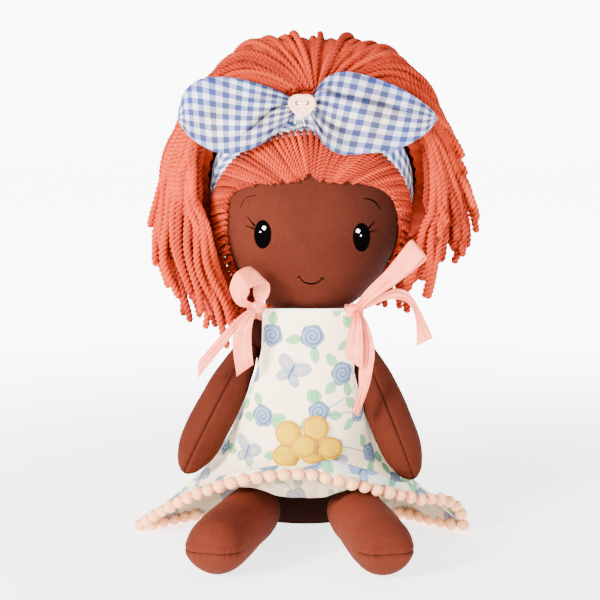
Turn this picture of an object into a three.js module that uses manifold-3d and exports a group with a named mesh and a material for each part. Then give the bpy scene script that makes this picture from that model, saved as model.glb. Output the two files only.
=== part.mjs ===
// A seated rag doll: a stuffed cotton body, head, arms and legs, yarn hair with a headband and a bow,
// and a loose sleeveless dress with pom-pom trim, tied at the shoulders with satin ribbon.
// Millimetres, +Z up. The doll sits on the floor at z = 0 and faces -Y; +X is on the viewer's right.
// The origin is on the flat underside of the seat.
import * as THREE from 'three';
import { mergeVertices } from 'three/addons/utils/BufferGeometryUtils.js';
import Module from 'manifold-3d';

const wasm = await Module();
wasm.setup();

const { PI, sin, cos, tan, sqrt, abs, min, max } = Math;
const DEG = PI / 180;
const V = (x, y, z) => new THREE.Vector3(x, y, z);

// Cloth and clearances
const FABRIC = 1;
const CLEAR = 0.3;
const WIDE_CLEAR = 0.95; // between two curved layers whose facets don't line up

// Torso
const TORSO_WIDTH = 60;
const TORSO_DEPTH = 34;
const TORSO_HEIGHT = 112.5;
const TORSO_Y = 5; // plane of the side seams
const NECK_RADIUS = 9;
const NECK_RISE = 4.5; // centre of the neck's round underside above the torso's neckline
const NECK_LENGTH = 1.7; // from that centre up to the head
const NECK_X = 1.5;

// Head
const HEAD_WIDTH = 110;
const HEAD_HEIGHT = 140;
const HEAD_DEPTH = 76;
const HEAD_SET_BACK = 1; // the head's seam in front of the torso's seam
const HEAD_TILT_DEG = 1.7;
const EGG_SHARE = 0.1; // how much wider than an ellipse the head is at the top

// Arms and legs
const TAB_RADIUS = 4;
const ARM_LENGTH = 82;
const ARM_WIDTH = 24.4;
const ARM_DEPTH = 21;
const SHOULDER_HEIGHT = 107;
const SHOULDER_FORWARD = 3;
const LEG_LENGTH = 107;
const LEG_WIDTH = 32;
const LEG_THICKNESS = 33;
const HIP_HEIGHT = 16.5;
const LEG_SWAY = 8; // how far a thigh moves sideways under the lap
const HIP_ROUND_DEG = 48; // degrees round the torso's front from its side seam
const SIDES = [
  { name: 'left', sign: -1, armOut: 26, armForward: 23, legOut: 14.8, spreadShare: 1.03, hemShare: 1 },
  { name: 'right', sign: 1, armOut: 21, armForward: 21, legOut: 10.9, spreadShare: 0.93, hemShare: 0.957 },
];

// Dress
const NECKLINE_HALF = 25.5;
const HEM_HALF = 94;
const NECKLINE_HEIGHT = 128;
const BACK_NECKLINE_HEIGHT = 110;
const HEM_LIFT = 46.5; // height of the front hem over the lap
const LAP_REACH = 71.5; // how far the front hem reaches in front of the origin
const CHEST_REACH = 22;
const SIDE_REACH = 24; // how far forward the side seams end
const BACK_REACH = 30; // how far the back hem reaches behind the origin
const BACK_NECK_REACH = 21;
const FACING_DEPTH = 17;
const POM_RADIUS = 3.5;
const POM_PITCH = 7.6;
const FLOWER_RADIUS = 18.8;
const FELT = 1.2;

// Hair, headband and bow
const HAIR_HALF_WIDTH = 87;
const HAIR_ABOVE = 93.5; // hair's top above the head's centre
const HAIR_FRONT = 46;
const HAIR_BACK = 58;
const LOCK_RADIUS = 7.6;
const LOCK_COUNT = 16;
const LOCK_LENGTH = 60;
const FRINGE_WIDTH = 19;
const FRINGE_THICKNESS = 5;
const FRINGE_FROM_DEG = -128; // degrees round the face from the top, to the left
const FRINGE_TO_DEG = 114;
const FRINGE_DEEPEST_DEG = 84; // degrees from the middle of the face towards the head's seam
const FRINGE_NARROW_SHARE = 0.75; // how much narrower the fringe would be under the chin
const CROWN_ROUND_DEG = 105;
const CROWN_DEPTH_SHARES = [0, 0.04, 0.12, 0.25, 0.42, 0.62, 0.82, 1];
const CROWN_FULL_SHARES = [0.16, 0.72, 0.96, 1, 1, 1, 1, 1];
const BAND_WIDTH = 14;
const BAND_LEAN_DEG = 28;
const BAND_SET_BACK = -5; // how far the band's plane passes behind the head's centre
const CROWN_SET_BACK = 2; // how far behind that centre the hair over the crown starts
const BAND_THICKNESS = 1.2;
const BOW_LENGTH = 71;
const BOW_HEIGHT = 40;
const BOW_DEPTH = 9;
const GATHER_LENGTH = 11;
const GATHER_HEIGHT = 19;
const GATHER_DEPTH = 12;
const BOW_SINK = 6.8; // the brow slopes back behind the bow's middle
const BOW_SHIFT = -5;
const BOW_RISE_SHARE = 0.714; // bow's centre above the head's centre, as a share of its half height
const BUTTON_WIDTH = 15;
const BUTTON_THICKNESS = 3;
const BUTTON_HOLE = 1.1;
const BUTTON_HOLE_PITCH = 5.4;

// Ribbons
const RIBBON_WIDTH = 12;
const RIBBON_THICKNESS = 0.8;
const KNOT_RADIUS = 4;
const KNOT_HEIGHT = 127;
const KNOT_FORWARD = 27;
const STRAP_CLEAR = 4;
const LOOP_REACH = 24;
const TAIL_DROP = 42;

const SKIN = { color: 0x8a4a2f, roughness: 0.92 };
const STUFFING = { color: 0xf2efe8, roughness: 1 };
const YARN = { color: 0xe3694c, roughness: 0.95 };
const PRINT = { color: 0xf6ecdf, roughness: 0.9 };
const GINGHAM = { color: 0xb9c4dc, roughness: 0.9 };
const SATIN = { color: 0xf2a58e, roughness: 0.4 };
const POMPOM = { color: 0xf8c6a6, roughness: 1 };
const YELLOW_FELT = { color: 0xfdba2c, roughness: 1 };
const BUTTON_WOOD = { color: 0xf4dcc0, roughness: 0.55 };

const WELD_SHARE = 0.002; // corners nearer than this share of the cloth's thickness are one

// Closed geometry from loose triangles: corners welded, empty triangles dropped, faces outwards.
function weld(geometry) {
  const bare = geometry.index ? geometry.toNonIndexed() : geometry.clone();
  bare.deleteAttribute('normal');
  bare.deleteAttribute('uv');
  const merged = mergeVertices(bare, WELD_SHARE * FABRIC);
  const at = merged.getAttribute('position');
  const a = V(0, 0, 0);
  const b = V(0, 0, 0);
  const c = V(0, 0, 0);
  const kept = [];
  let volume = 0;
  for (let i = 0; i < merged.index.count; i += 3) {
    const corner = [0, 1, 2].map((k) => merged.index.getX(i + k));
    if (new Set(corner).size < 3) continue;
    kept.push(corner);
    a.fromBufferAttribute(at, corner[0]);
    b.fromBufferAttribute(at, corner[1]);
    c.fromBufferAttribute(at, corner[2]);
    volume += a.dot(b.cross(c));
  }
  const facing = volume < 0 ? kept.map(([i, j, k]) => [i, k, j]) : kept;
  merged.setIndex(facing.flat());
  merged.computeVertexNormals();
  return merged;
}

function fromTriangles(triangles) {
  const points = triangles.flat();
  return weld(new THREE.BufferGeometry().setFromPoints(points));
}

function stitch(rowA, rowB) {
  const out = [];
  for (let i = 0; i + 1 < rowA.length; i += 1) {
    out.push([rowA[i], rowA[i + 1], rowB[i + 1]]);
    out.push([rowA[i], rowB[i + 1], rowB[i]]);
  }
  return out;
}

const flipped = (triangles) => triangles.map(([a, b, c]) => [a, c, b]);

// A shell between two grids of points with the same rows and columns, closed along its four edges.
function shell(outer, inner) {
  const out = [];
  const last = outer.length - 1;
  for (let r = 0; r < last; r += 1) {
    out.push(...stitch(outer[r], outer[r + 1]));
    out.push(...flipped(stitch(inner[r], inner[r + 1])));
  }
  out.push(...stitch(inner[0], outer[0]));
  out.push(...stitch(outer[last], inner[last]));
  const edge = (grid, end) => grid.map((row) => row.at(end));
  out.push(...stitch(edge(outer, 0), edge(inner, 0)));
  out.push(...stitch(edge(inner, -1), edge(outer, -1)));
  return fromTriangles(out);
}

// A sheet of the given thickness whose outer face is the grid, seen with its rows going down
// and its columns going to the right.
function sheet(grid, thickness) {
  const inner = grid.map((row, r) => row.map((point, c) => {
    const down = grid[min(r + 1, grid.length - 1)][c].clone().sub(grid[max(r - 1, 0)][c]);
    const across = row[min(c + 1, row.length - 1)].clone().sub(row[max(c - 1, 0)]);
    return point.clone().addScaledVector(across.cross(down).normalize(), thickness);
  }));
  return shell(grid, inner);
}

// A solid through a row of convex rings; a last ring that is flattened to a line closes itself.
function loft(rings, closesItself = false) {
  const rows = rings.map((points) => [...points, points[0]]);
  const out = [];
  for (let r = 0; r + 1 < rows.length; r += 1) out.push(...stitch(rows[r], rows[r + 1]));
  const [first, last] = [rows[0], rows.at(-1)];
  for (let i = 1; i + 2 < first.length; i += 1) {
    out.push([first[0], first[i + 1], first[i]]);
    if (!closesItself) out.push([last[0], last[i], last[i + 1]]);
  }
  return fromTriangles(out);
}

function toManifold(geometry) {
  const welded = weld(geometry);
  return new wasm.Manifold(new wasm.Mesh({
    numProp: 3,
    vertProperties: welded.getAttribute('position').array,
    triVerts: new Uint32Array(welded.index.array),
  }));
}

function fromManifold(manifold) {
  const mesh = manifold.getMesh();
  const geometry = new THREE.BufferGeometry();
  geometry.setAttribute('position', new THREE.BufferAttribute(mesh.vertProperties, 3));
  geometry.setIndex([...mesh.triVerts]);
  geometry.computeVertexNormals();
  return geometry;
}

const joined = (geometries) => fromManifold(geometries.map(toManifold).reduce((a, b) => a.add(b)));

function named(name, geometry, look) {
  const mesh = new THREE.Mesh(geometry, new THREE.MeshStandardMaterial({ metalness: 0, ...look }));
  mesh.name = name;
  return mesh;
}

function smoothPath(points, steps) {
  return new THREE.CatmullRomCurve3(points, false, 'centripetal').getSpacedPoints(steps);
}

// Rows of a stuffed piece from its open end to its closed one:
// [share of length, of half width, of front half depth, of back half depth].
const TORSO_SHARES = [
  [0, 0.36, 0.62, 0.62],
  [0.006, 0.56, 0.66, 0.66],
  [0.018, 0.76, 0.7, 0.7],
  [0.045, 0.89, 0.75, 0.75],
  [0.12, 0.925, 0.85, 0.85],
  [0.35, 0.94, 0.95, 0.95],
  [0.8, 1, 1, 1],
  [0.93, 0.98, 0.95, 0.97],
  [0.985, 0.9, 0.82, 0.86],
  [1, 0.8, 0.7, 0.76],
  [1, 0.3, 0, 0],
];
const TORSO_FILLED_FROM = 3;
const ARM_SHARES = [
  [0, 0.5, 0.5, 0.5],
  [0.16, 0.76, 0.76, 0.76],
  [0.32, 0.9, 0.92, 0.92],
  [0.5, 1, 1, 1],
  [0.68, 0.99, 1, 1],
  [0.81, 0.87, 0.9, 0.9],
  [0.91, 0.66, 0.66, 0.66],
  [0.97, 0.4, 0.4, 0.4],
  [1, 0.14, 0, 0],
];
const LEG_SHARES = [
  [0, 0.42, 0.3, 0.28],
  [0.05, 0.58, 0.46, 0.31],
  [0.12, 0.78, 0.72, 0.52],
  [0.22, 0.94, 0.93, 1],
  [0.45, 0.97, 1, 1],
  [0.74, 1, 1, 1],
  [0.88, 0.98, 0.93, 0.9],
  [0.955, 0.84, 0.66, 0.62],
  [0.99, 0.62, 0.33, 0.3],
  [1, 0.46, 0, 0],
];

// One ring of a stuffed piece, its length along -Z, its front towards -Y.
function ring(shares, size, inset, segments) {
  const [along, wide, front, back] = shares;
  const z = -along * (size.length - inset);
  const points = [];
  for (let i = 0; i < 2 * segments; i += 1) {
    const turn = PI * i / segments;
    const depth = i <= segments ? front * (size.front - inset) : back * (size.back - inset);
    points.push(V(wide * (size.halfWidth - inset) * cos(turn), -depth * sin(turn), z));
  }
  return points;
}

// Two fabric panels sewn along the side seams, around a filling.
function stuffed(prefix, panels, table, size, segments, filledFrom, look) {
  const rows = (inset) => table.map((shares) => ring(shares, size, inset, segments));
  const outer = rows(0);
  const inner = rows(FABRIC);
  const frontHalf = (row) => row.slice(0, segments + 1);
  const backHalf = (row) => [...row.slice(segments), row[0]];
  const front = shell(outer.map(frontHalf), inner.map(frontHalf));
  const back = shell(outer.map(backHalf), inner.map(backHalf));
  front.translate(0, -CLEAR / 2, 0);
  back.translate(0, CLEAR / 2, 0);
  const core = rows(FABRIC + CLEAR).slice(filledFrom);
  const filling = loft(core, true);
  return [
    named(`${prefix}_${panels[0]}`, front, look),
    named(`${prefix}_${panels[1]}`, back, look),
    named(`${prefix}_filling`, filling, STUFFING),
  ];
}

// Half width, front or back half depth of the torso at a height.
function torsoAt(height, column) {
  const along = 1 - height / TORSO_HEIGHT;
  const below = TORSO_SHARES.findIndex((row) => row[0] >= along);
  const [a, b] = [TORSO_SHARES[max(below - 1, 0)], TORSO_SHARES[below]];
  const mix = b[0] === a[0] ? 0 : (along - a[0]) / (b[0] - a[0]);
  const size = column === 1 ? TORSO_WIDTH : TORSO_DEPTH;
  return (a[column] + (b[column] - a[column]) * mix) * size / 2;
}

function torso() {
  const group = new THREE.Group();
  group.position.set(0, TORSO_Y, TORSO_HEIGHT);
  const size = {
    length: TORSO_HEIGHT,
    halfWidth: TORSO_WIDTH / 2,
    front: TORSO_DEPTH / 2,
    back: TORSO_DEPTH / 2,
  };
  const panels = ['front_panel', 'back_panel'];
  group.add(...stuffed('torso', panels, TORSO_SHARES, size, 8, TORSO_FILLED_FROM, SKIN));
  return group;
}

// An unstuffed tab of gathered fabric, round where it turns against the torso.
function tab(name, centre) {
  const mesh = named(name, new THREE.SphereGeometry(TAB_RADIUS, 8, 6), SKIN);
  mesh.position.copy(centre);
  return mesh;
}

function shoulderPoint(side) {
  const round = Math.asin(SHOULDER_FORWARD / torsoAt(SHOULDER_HEIGHT, 2));
  const out = torsoAt(SHOULDER_HEIGHT, 1) * cos(round) + CLEAR + TAB_RADIUS;
  return V(side.sign * out, TORSO_Y - SHOULDER_FORWARD, SHOULDER_HEIGHT);
}

function arm(side) {
  const pivot = new THREE.Group();
  pivot.position.copy(shoulderPoint(side));
  pivot.rotation.set(-side.armForward * DEG, -side.sign * side.armOut * DEG, 0);
  const limb = new THREE.Group();
  limb.position.z = -(TAB_RADIUS + CLEAR);
  limb.rotation.z = side.sign * PI / 2;
  const size = {
    length: ARM_LENGTH,
    halfWidth: ARM_DEPTH / 2,
    front: ARM_WIDTH / 2,
    back: ARM_WIDTH / 2,
  };
  limb.add(...stuffed(`${side.name}_arm`, ['outer_panel', 'inner_panel'], ARM_SHARES, size, 6, 0, SKIN));
  pivot.add(limb);
  return pivot;
}

function hipPoint(side) {
  const half = torsoAt(HIP_HEIGHT, 1);
  const front = torsoAt(HIP_HEIGHT, 2);
  const turn = HIP_ROUND_DEG * DEG;
  const outwards = V(cos(turn) / half, -sin(turn) / front, 0).normalize();
  const point = V(half * cos(turn), TORSO_Y - front * sin(turn), HIP_HEIGHT);
  point.addScaledVector(outwards, TAB_RADIUS + 2 * CLEAR);
  return V(side.sign * point.x, point.y, point.z);
}

function leg(side) {
  const pivot = new THREE.Group();
  pivot.position.copy(hipPoint(side));
  pivot.rotation.z = side.sign * side.legOut * DEG;
  const limb = new THREE.Group();
  limb.position.y = -(TAB_RADIUS + CLEAR);
  limb.rotation.x = -PI / 2;
  const size = {
    length: LEG_LENGTH,
    halfWidth: LEG_WIDTH / 2,
    front: LEG_THICKNESS - HIP_HEIGHT,
    back: HIP_HEIGHT - CLEAR / 2,
  };
  limb.add(...stuffed(`${side.name}_leg`, ['top_panel', 'under_panel'], LEG_SHARES, size, 6, 0, SKIN));
  pivot.add(limb);
  return pivot;
}

const NECK_PIVOT = V(NECK_X, TORSO_Y, TORSO_HEIGHT + NECK_RISE);

function neck() {
  const profile = [new THREE.Vector2(0, -NECK_RADIUS)];
  for (let i = 1; i <= 4; i += 1) {
    const turn = PI / 2 * i / 4;
    profile.push(new THREE.Vector2(NECK_RADIUS * sin(turn), -NECK_RADIUS * cos(turn)));
  }
  profile.push(new THREE.Vector2(NECK_RADIUS, NECK_LENGTH));
  profile.push(new THREE.Vector2(0, NECK_LENGTH));
  const geometry = weld(new THREE.LatheGeometry(profile, 12)).rotateX(PI / 2);
  geometry.translate(NECK_PIVOT.x, NECK_PIVOT.y, NECK_PIVOT.z);
  return named('neck', geometry, SKIN);
}

// Head: an egg with its seam in the XZ plane. round is the angle about Y from the top,
// depth the angle from the middle of the face towards the back; grow adds to every half axis.
function onEgg(halves, round, depth) {
  const z = halves.z * sin(depth) * cos(round);
  const egg = 1 + EGG_SHARE * z / halves.z;
  const x = halves.x * egg * sin(depth) * sin(round);
  const y = -(depth < PI / 2 ? halves.front : halves.back) * cos(depth);
  return V(x, y, z);
}

function headHalves(grow) {
  return {
    x: HEAD_WIDTH / 2 + grow,
    z: HEAD_HEIGHT / 2 + grow,
    front: HEAD_DEPTH / 2 + grow,
    back: HEAD_DEPTH / 2 + grow,
  };
}

function headPanels() {
  const around = 24;
  const deep = 4;
  const grid = (grow, from, to) => {
    const rows = [];
    for (let r = 0; r <= deep; r += 1) {
      const depth = (from + (to - from) * r / deep) * PI;
      const row = [];
      for (let c = 0; c <= around; c += 1) row.push(onEgg(headHalves(grow), 2 * PI * c / around, depth));
      rows.push(row);
    }
    return rows;
  };
  const half = (from, to) => {
    const outer = grid(0, from, to);
    const inner = grid(-FABRIC, from, to);
    const triangles = [];
    for (let r = 0; r < deep; r += 1) {
      triangles.push(...stitch(outer[r], outer[r + 1]));
      triangles.push(...flipped(stitch(inner[r], inner[r + 1])));
    }
    triangles.push(...stitch(inner[0], outer[0]), ...stitch(outer[deep], inner[deep]));
    return fromTriangles(triangles);
  };
  const face = half(0, 0.5).translate(0, -CLEAR / 2, 0);
  const back = half(1, 0.5).translate(0, CLEAR / 2, 0);
  const core = [...grid(-FABRIC - CLEAR, 0, 0.5), ...grid(-FABRIC - CLEAR, 0.5, 1).slice(1)];
  const triangles = [];
  for (let r = 0; r + 1 < core.length; r += 1) triangles.push(...stitch(core[r], core[r + 1]));
  return [
    named('face_panel', face, SKIN),
    named('head_back_panel', back, SKIN),
    named('head_filling', fromTriangles(triangles), STUFFING),
  ];
}

// Angle from the middle of the face at which the headband's leaning plane, moved back by an
// offset, meets the head; round is the angle about Y from the top.
function bandDepth(halves, round, offset) {
  const up = halves.z * cos(round) * sin(BAND_LEAN_DEG * DEG);
  const forward = halves.front * cos(BAND_LEAN_DEG * DEG);
  return Math.atan2(forward, up) + Math.asin(offset / Math.hypot(forward, up));
}

function headband() {
  const around = 48;
  const grid = (grow) => [-0.5, 0, 0.5].map((edge) => {
    const row = [];
    for (let c = 0; c < around; c += 1) {
      const round = 2 * PI * c / around;
      const halves = headHalves(grow);
      row.push(onEgg(halves, round, bandDepth(halves, round, BAND_SET_BACK + edge * BAND_WIDTH)));
    }
    return [...row, row[0]];
  });
  const inner = grid(WIDE_CLEAR);
  const outer = grid(WIDE_CLEAR + BAND_THICKNESS);
  const triangles = [];
  const last = inner.length - 1;
  for (let r = 0; r < last; r += 1) {
    triangles.push(...stitch(outer[r], outer[r + 1]));
    triangles.push(...flipped(stitch(inner[r], inner[r + 1])));
  }
  triangles.push(...stitch(inner[0], outer[0]), ...stitch(outer[last], inner[last]));
  return named('headband', fromTriangles(triangles), GINGHAM);
}

// The fringe: a thick roll of yarn loops along the headband's front edge and down both cheeks.
function fringe() {
  const steps = 18;
  const sections = [];
  const halves = headHalves(WIDE_CLEAR + FRINGE_THICKNESS / 2);
  const at = (step) => {
    const round = (FRINGE_FROM_DEG + (FRINGE_TO_DEG - FRINGE_FROM_DEG) * step / steps) * DEG;
    const wide = FRINGE_WIDTH / 2 * (1 - FRINGE_NARROW_SHARE * sin(round / 2) ** 2);
    const offset = BAND_SET_BACK - BAND_WIDTH / 2 - WIDE_CLEAR - wide;
    const depth = min(bandDepth(halves, round, offset), FRINGE_DEEPEST_DEG * DEG);
    return { point: onEgg(halves, round, depth), wide };
  };
  for (let step = 0; step <= steps; step += 1) {
    const { point, wide } = at(step);
    const ahead = at(min(step + 1, steps)).point.sub(at(max(step - 1, 0)).point).normalize();
    const out = V(point.x / halves.x ** 2, point.y / halves.front ** 2, point.z / halves.z ** 2);
    out.addScaledVector(ahead, -out.dot(ahead)).normalize();
    const across = out.clone().cross(ahead);
    const points = [];
    for (let k = 0; k < 8; k += 1) {
      const turn = 2 * PI * k / 8;
      points.push(point.clone()
        .addScaledVector(out, FRINGE_THICKNESS / 2 * sin(turn))
        .addScaledVector(across, wide * cos(turn)));
    }
    sections.push(points);
  }
  return named('hair_fringe', loft(sections), YARN);
}

// Hair over the crown: a thick cap from the headband back and down to the locks.
function crown() {
  const columns = 14;
  const above = { x: HAIR_HALF_WIDTH, z: HAIR_ABOVE, front: HAIR_FRONT, back: HAIR_BACK };
  const outer = [];
  const inner = [];
  CROWN_DEPTH_SHARES.forEach((depthShare, r) => {
    const lift = WIDE_CLEAR * (r < 2 ? 1 : 2);
    const below = headHalves(WIDE_CLEAR + BAND_THICKNESS + lift);
    const outerRow = [];
    const innerRow = [];
    for (let c = 0; c <= columns; c += 1) {
      const round = (2 * c / columns - 1) * CROWN_ROUND_DEG * DEG;
      const start = bandDepth(below, round, CROWN_SET_BACK + CLEAR);
      const depth = start + (PI - start) * depthShare;
      const under = onEgg(below, round, depth);
      const over = onEgg(above, round, depth);
      innerRow.push(under);
      outerRow.push(under.clone().lerp(over, CROWN_FULL_SHARES[r]));
    }
    outer.push(outerRow);
    inner.push(innerRow);
  });
  return named('hair_crown', shell(outer, inner), YARN);
}

// Locks hang in a row round the back and both sides, below the crown.
const LOCK_LENGTH_SHARES = [
  0.5, 0.8, 0.72, 0.76, 0.86, 0.9, 0.98, 0.96, 1, 0.94, 0.92, 0.8, 0.64, 0.5, 0.62, 0.4,
];
// [share of length, of section, shift outwards in radii]
const LOCK_SHARES = [[0, 0.98, 0], [0.3, 1, 0.1], [0.62, 0.98, 0.14], [0.86, 0.84, 0.1], [1, 0.45, 0]];
// how far each lock's end stands out, in radii: most where the hair is tousled
const LOCK_FLARE_SHARES = [0, 0.45, 0.3, 0.1, 0, 0, 0, 0, 0, 0, 0, 0.15, 0.5, 0.95, 1.1, 0.3];
const LOCK_ROUND_DEG = 121; // degrees from straight behind to the foremost lock

function locks() {
  const rim = HAIR_ABOVE * cos(CROWN_ROUND_DEG * DEG);
  const halfX = HAIR_HALF_WIDTH - LOCK_RADIUS;
  const halfY = HAIR_BACK - LOCK_RADIUS;
  const step = 2 * LOCK_ROUND_DEG * DEG / (LOCK_COUNT - 1);
  return LOCK_LENGTH_SHARES.slice(0, LOCK_COUNT).map((lengthShare, i) => {
    const turn = step * i - LOCK_ROUND_DEG * DEG;
    const along = V(halfX * cos(turn), -halfY * sin(turn), 0);
    const half = along.length() * step / 2 - CLEAR / 3;
    const top = rim * sin(min(PI / 2, abs(turn) + step / 2)) - CLEAR;
    along.normalize();
    const away = V(-along.y, along.x, 0);
    const sections = LOCK_SHARES.map(([down, wide, outwards]) => {
      const centre = V(halfX * sin(turn), halfY * cos(turn), top - down * lengthShare * LOCK_LENGTH);
      centre.addScaledVector(away, (outwards + LOCK_FLARE_SHARES[i] * down * down) * LOCK_RADIUS);
      const points = [];
      for (let k = 0; k < 8; k += 1) {
        const around = 2 * PI * k / 8;
        points.push(centre.clone()
          .addScaledVector(along, half * wide * cos(around))
          .addScaledVector(away, LOCK_RADIUS * wide * sin(around)));
      }
      return points;
    });
    return named(`hair_lock_${String(i + 1).padStart(2, '0')}`, loft(sections), YARN);
  });
}

// Bow: two leaf-shaped lobes of doubled cloth, gathered under a heart-shaped button.
// [share of lobe length, share of half height, share of half depth, share of depth that it sweeps back]
const LOBE_SHARES = [
  [0, 0.36, 0.6, 0],
  [0.16, 0.62, 0.86, 0],
  [0.36, 0.9, 1, 0.08],
  [0.58, 1, 0.95, 0.3],
  [0.78, 0.8, 0.8, 0.75],
  [0.92, 0.4, 0.6, 1.15],
  [1, 0.1, 0.3, 1.4],
];

function bow() {
  const group = new THREE.Group();
  const forward = (HEAD_DEPTH + GATHER_DEPTH) / 2 - BOW_SINK;
  group.position.set(BOW_SHIFT, -forward, BOW_RISE_SHARE * HEAD_HEIGHT / 2);
  for (const side of SIDES) {
    const sections = LOBE_SHARES.map(([along, high, deep, back]) => {
      const points = [];
      for (let k = 0; k < 12; k += 1) {
        const turn = 2 * PI * k / 12;
        points.push(V(
          side.sign * (GATHER_LENGTH / 2 + CLEAR + along * BOW_LENGTH),
          back * BOW_DEPTH + deep * BOW_DEPTH / 2 * cos(turn),
          high * BOW_HEIGHT / 2 * sin(turn),
        ));
      }
      return points;
    });
    const lobe = loft(sections);
    group.add(named(`bow_lobe_${side.name}`, lobe, GINGHAM));
  }
  const waist = [-0.5, -0.25, 0, 0.25, 0.5].map((along) => {
    const points = [];
    const pinch = 0.8 + 0.8 * along * along;
    for (let k = 0; k < 12; k += 1) {
      const turn = 2 * PI * k / 12;
      const z = pinch * GATHER_HEIGHT / 2 * sin(turn);
      points.push(V(along * GATHER_LENGTH, GATHER_DEPTH / 2 * cos(turn), z));
    }
    return points;
  });
  const gather = loft(waist);
  group.add(named('bow_gather', gather, GINGHAM));
  group.add(button());
  return group;
}

function heart(width) {
  const half = width / 2;
  const shape = new THREE.Shape();
  shape.moveTo(0, -half);
  shape.bezierCurveTo(half * 0.45, -half * 0.62, half, -half * 0.2, half, half * 0.3);
  shape.bezierCurveTo(half, half * 0.82, half * 0.3, half * 1.02, 0, half * 0.56);
  shape.bezierCurveTo(-half * 0.3, half * 1.02, -half, half * 0.82, -half, half * 0.3);
  shape.bezierCurveTo(-half, -half * 0.2, -half * 0.45, -half * 0.62, 0, -half);
  return shape;
}

const BEVEL_SHARE = 0.24;
const HOLE_RISE_SHARE = 0.04;

function button() {
  const bevel = BUTTON_THICKNESS * BEVEL_SHARE;
  const shape = heart(BUTTON_WIDTH - 2 * bevel);
  for (const side of SIDES) {
    const hole = new THREE.Path();
    const across = side.sign * BUTTON_HOLE_PITCH / 2;
    hole.absarc(across, BUTTON_WIDTH * HOLE_RISE_SHARE, BUTTON_HOLE + bevel, 0, 2 * PI, true);
    shape.holes.push(hole);
  }
  const geometry = new THREE.ExtrudeGeometry(shape, {
    depth: BUTTON_THICKNESS - 2 * bevel,
    bevelThickness: bevel,
    bevelSize: bevel,
    bevelSegments: 1,
    curveSegments: 4,
  });
  geometry.translate(0, 0, bevel);
  geometry.rotateX(PI / 2);
  geometry.translate(0, -GATHER_DEPTH / 2 - CLEAR, 0);
  return named('heart_button', weld(geometry), BUTTON_WOOD);
}

function head() {
  const pivot = new THREE.Group();
  pivot.position.copy(NECK_PIVOT);
  pivot.rotation.y = HEAD_TILT_DEG * DEG;
  const centre = new THREE.Group();
  centre.position.set(0, -HEAD_SET_BACK, NECK_LENGTH + CLEAR + HEAD_HEIGHT / 2);
  centre.add(...headPanels(), fringe(), crown(), ...locks(), headband(), bow());
  pivot.add(centre);
  return pivot;
}

// Dress. Every level is a curve from side to side:
// flare   share from the neckline's half width to the hem's
// height  share from the hem's height at the side to the neckline's
// rise    share of the middle's own height span, front or back
// reach   share from the chest's reach to the lap's, or from the back neckline's to the back hem's
// edge    how far the edge stands forward, as a share of the side reach; more than 0 where it is sewn
// bunch   exponent: 1 is round like a cone, more leaves the middle standing out over the lap
const FRONT_SHARES = [
  [0, 1, 1, 0, 0.75, 1],
  [0, 0.9, 0.85, 0.02, 0.7, 1],
  [0.003, 0.8, 0.71, 0.05, 0.65, 1],
  [0.04, 0.695, 0.56, 0.1, 0.6, 1],
  [0.1, 0.59, 0.41, 0.17, 0.55, 1.1],
  [0.165, 0.485, 0.28, 0.26, 0.5, 1.3],
  [0.24, 0.385, 0.165, 0.36, 0.38, 1.6],
  [0.335, 0.315, 0.06, 0.47, 0.25, 1.8],
  [0.5, 0.22, -0.01, 0.58, 0.36, 1.9],
  [0.69, 0.13, -0.035, 0.7, 0.56, 1.9],
  [0.8, 0.085, 0, 0.8, 0.72, 1.9],
  [0.9, 0.045, 0.045, 0.885, 0.86, 1.9],
  [1, 0, 0, 1, 1, 1.9],
];
const BACK_SHARES = [
  [-0.02, 0.86, 1, 0, -0.72, 1],
  [0, 0.8, 0.91, 0.2, -0.7, 1],
  [0.003, 0.74, 0.82, 0.35, -0.68, 1],
  [0.04, 0.66, 0.72, 0.45, -0.62, 1],
  [0.1, 0.57, 0.61, 0.5, -0.52, 1],
  [0.165, 0.475, 0.5, 0.55, -0.4, 1.1],
  [0.24, 0.38, 0.4, 0.6, -0.15, 1.3],
  [0.335, 0.315, 0.31, 0.65, 0.25, 1.6],
  [0.5, 0.22, 0.22, 0.72, 0.36, 1.9],
  [0.69, 0.13, 0.14, 0.8, 0.56, 2.2],
  [0.855, 0.06, 0.07, 0.9, 0.8, 2.5],
  [1, 0, 0, 1, 1, 2.7],
];
const ARMHOLE_FLARE_SHARES = [0.003, 0.4]; // between these levels the arms spread the sides
const SEAM_GAP = 2 * FABRIC;
const hemSide = POM_RADIUS + 2 * CLEAR; // height of the trim's centre line at the side seams

// On the right the front hem dips over the thigh, then lies in a fold that lifts it towards the side.
const HEM_DIP_SHARE = 0.09;
const HEM_FOLD_SHARE = 0.19;
const HEM_DIP_POWER = 20; // the higher, the less the dip reaches up from the hem
const HEM_FOLD_POWER = 3;

function hemWave(flare, s) {
  const wave = s > 0 ? sin(2 * PI * s) : 0;
  const dips = wave > 0;
  const reach = flare ** (dips ? HEM_DIP_POWER : HEM_FOLD_POWER);
  return -(dips ? HEM_DIP_SHARE : HEM_FOLD_SHARE) * wave * reach;
}

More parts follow.
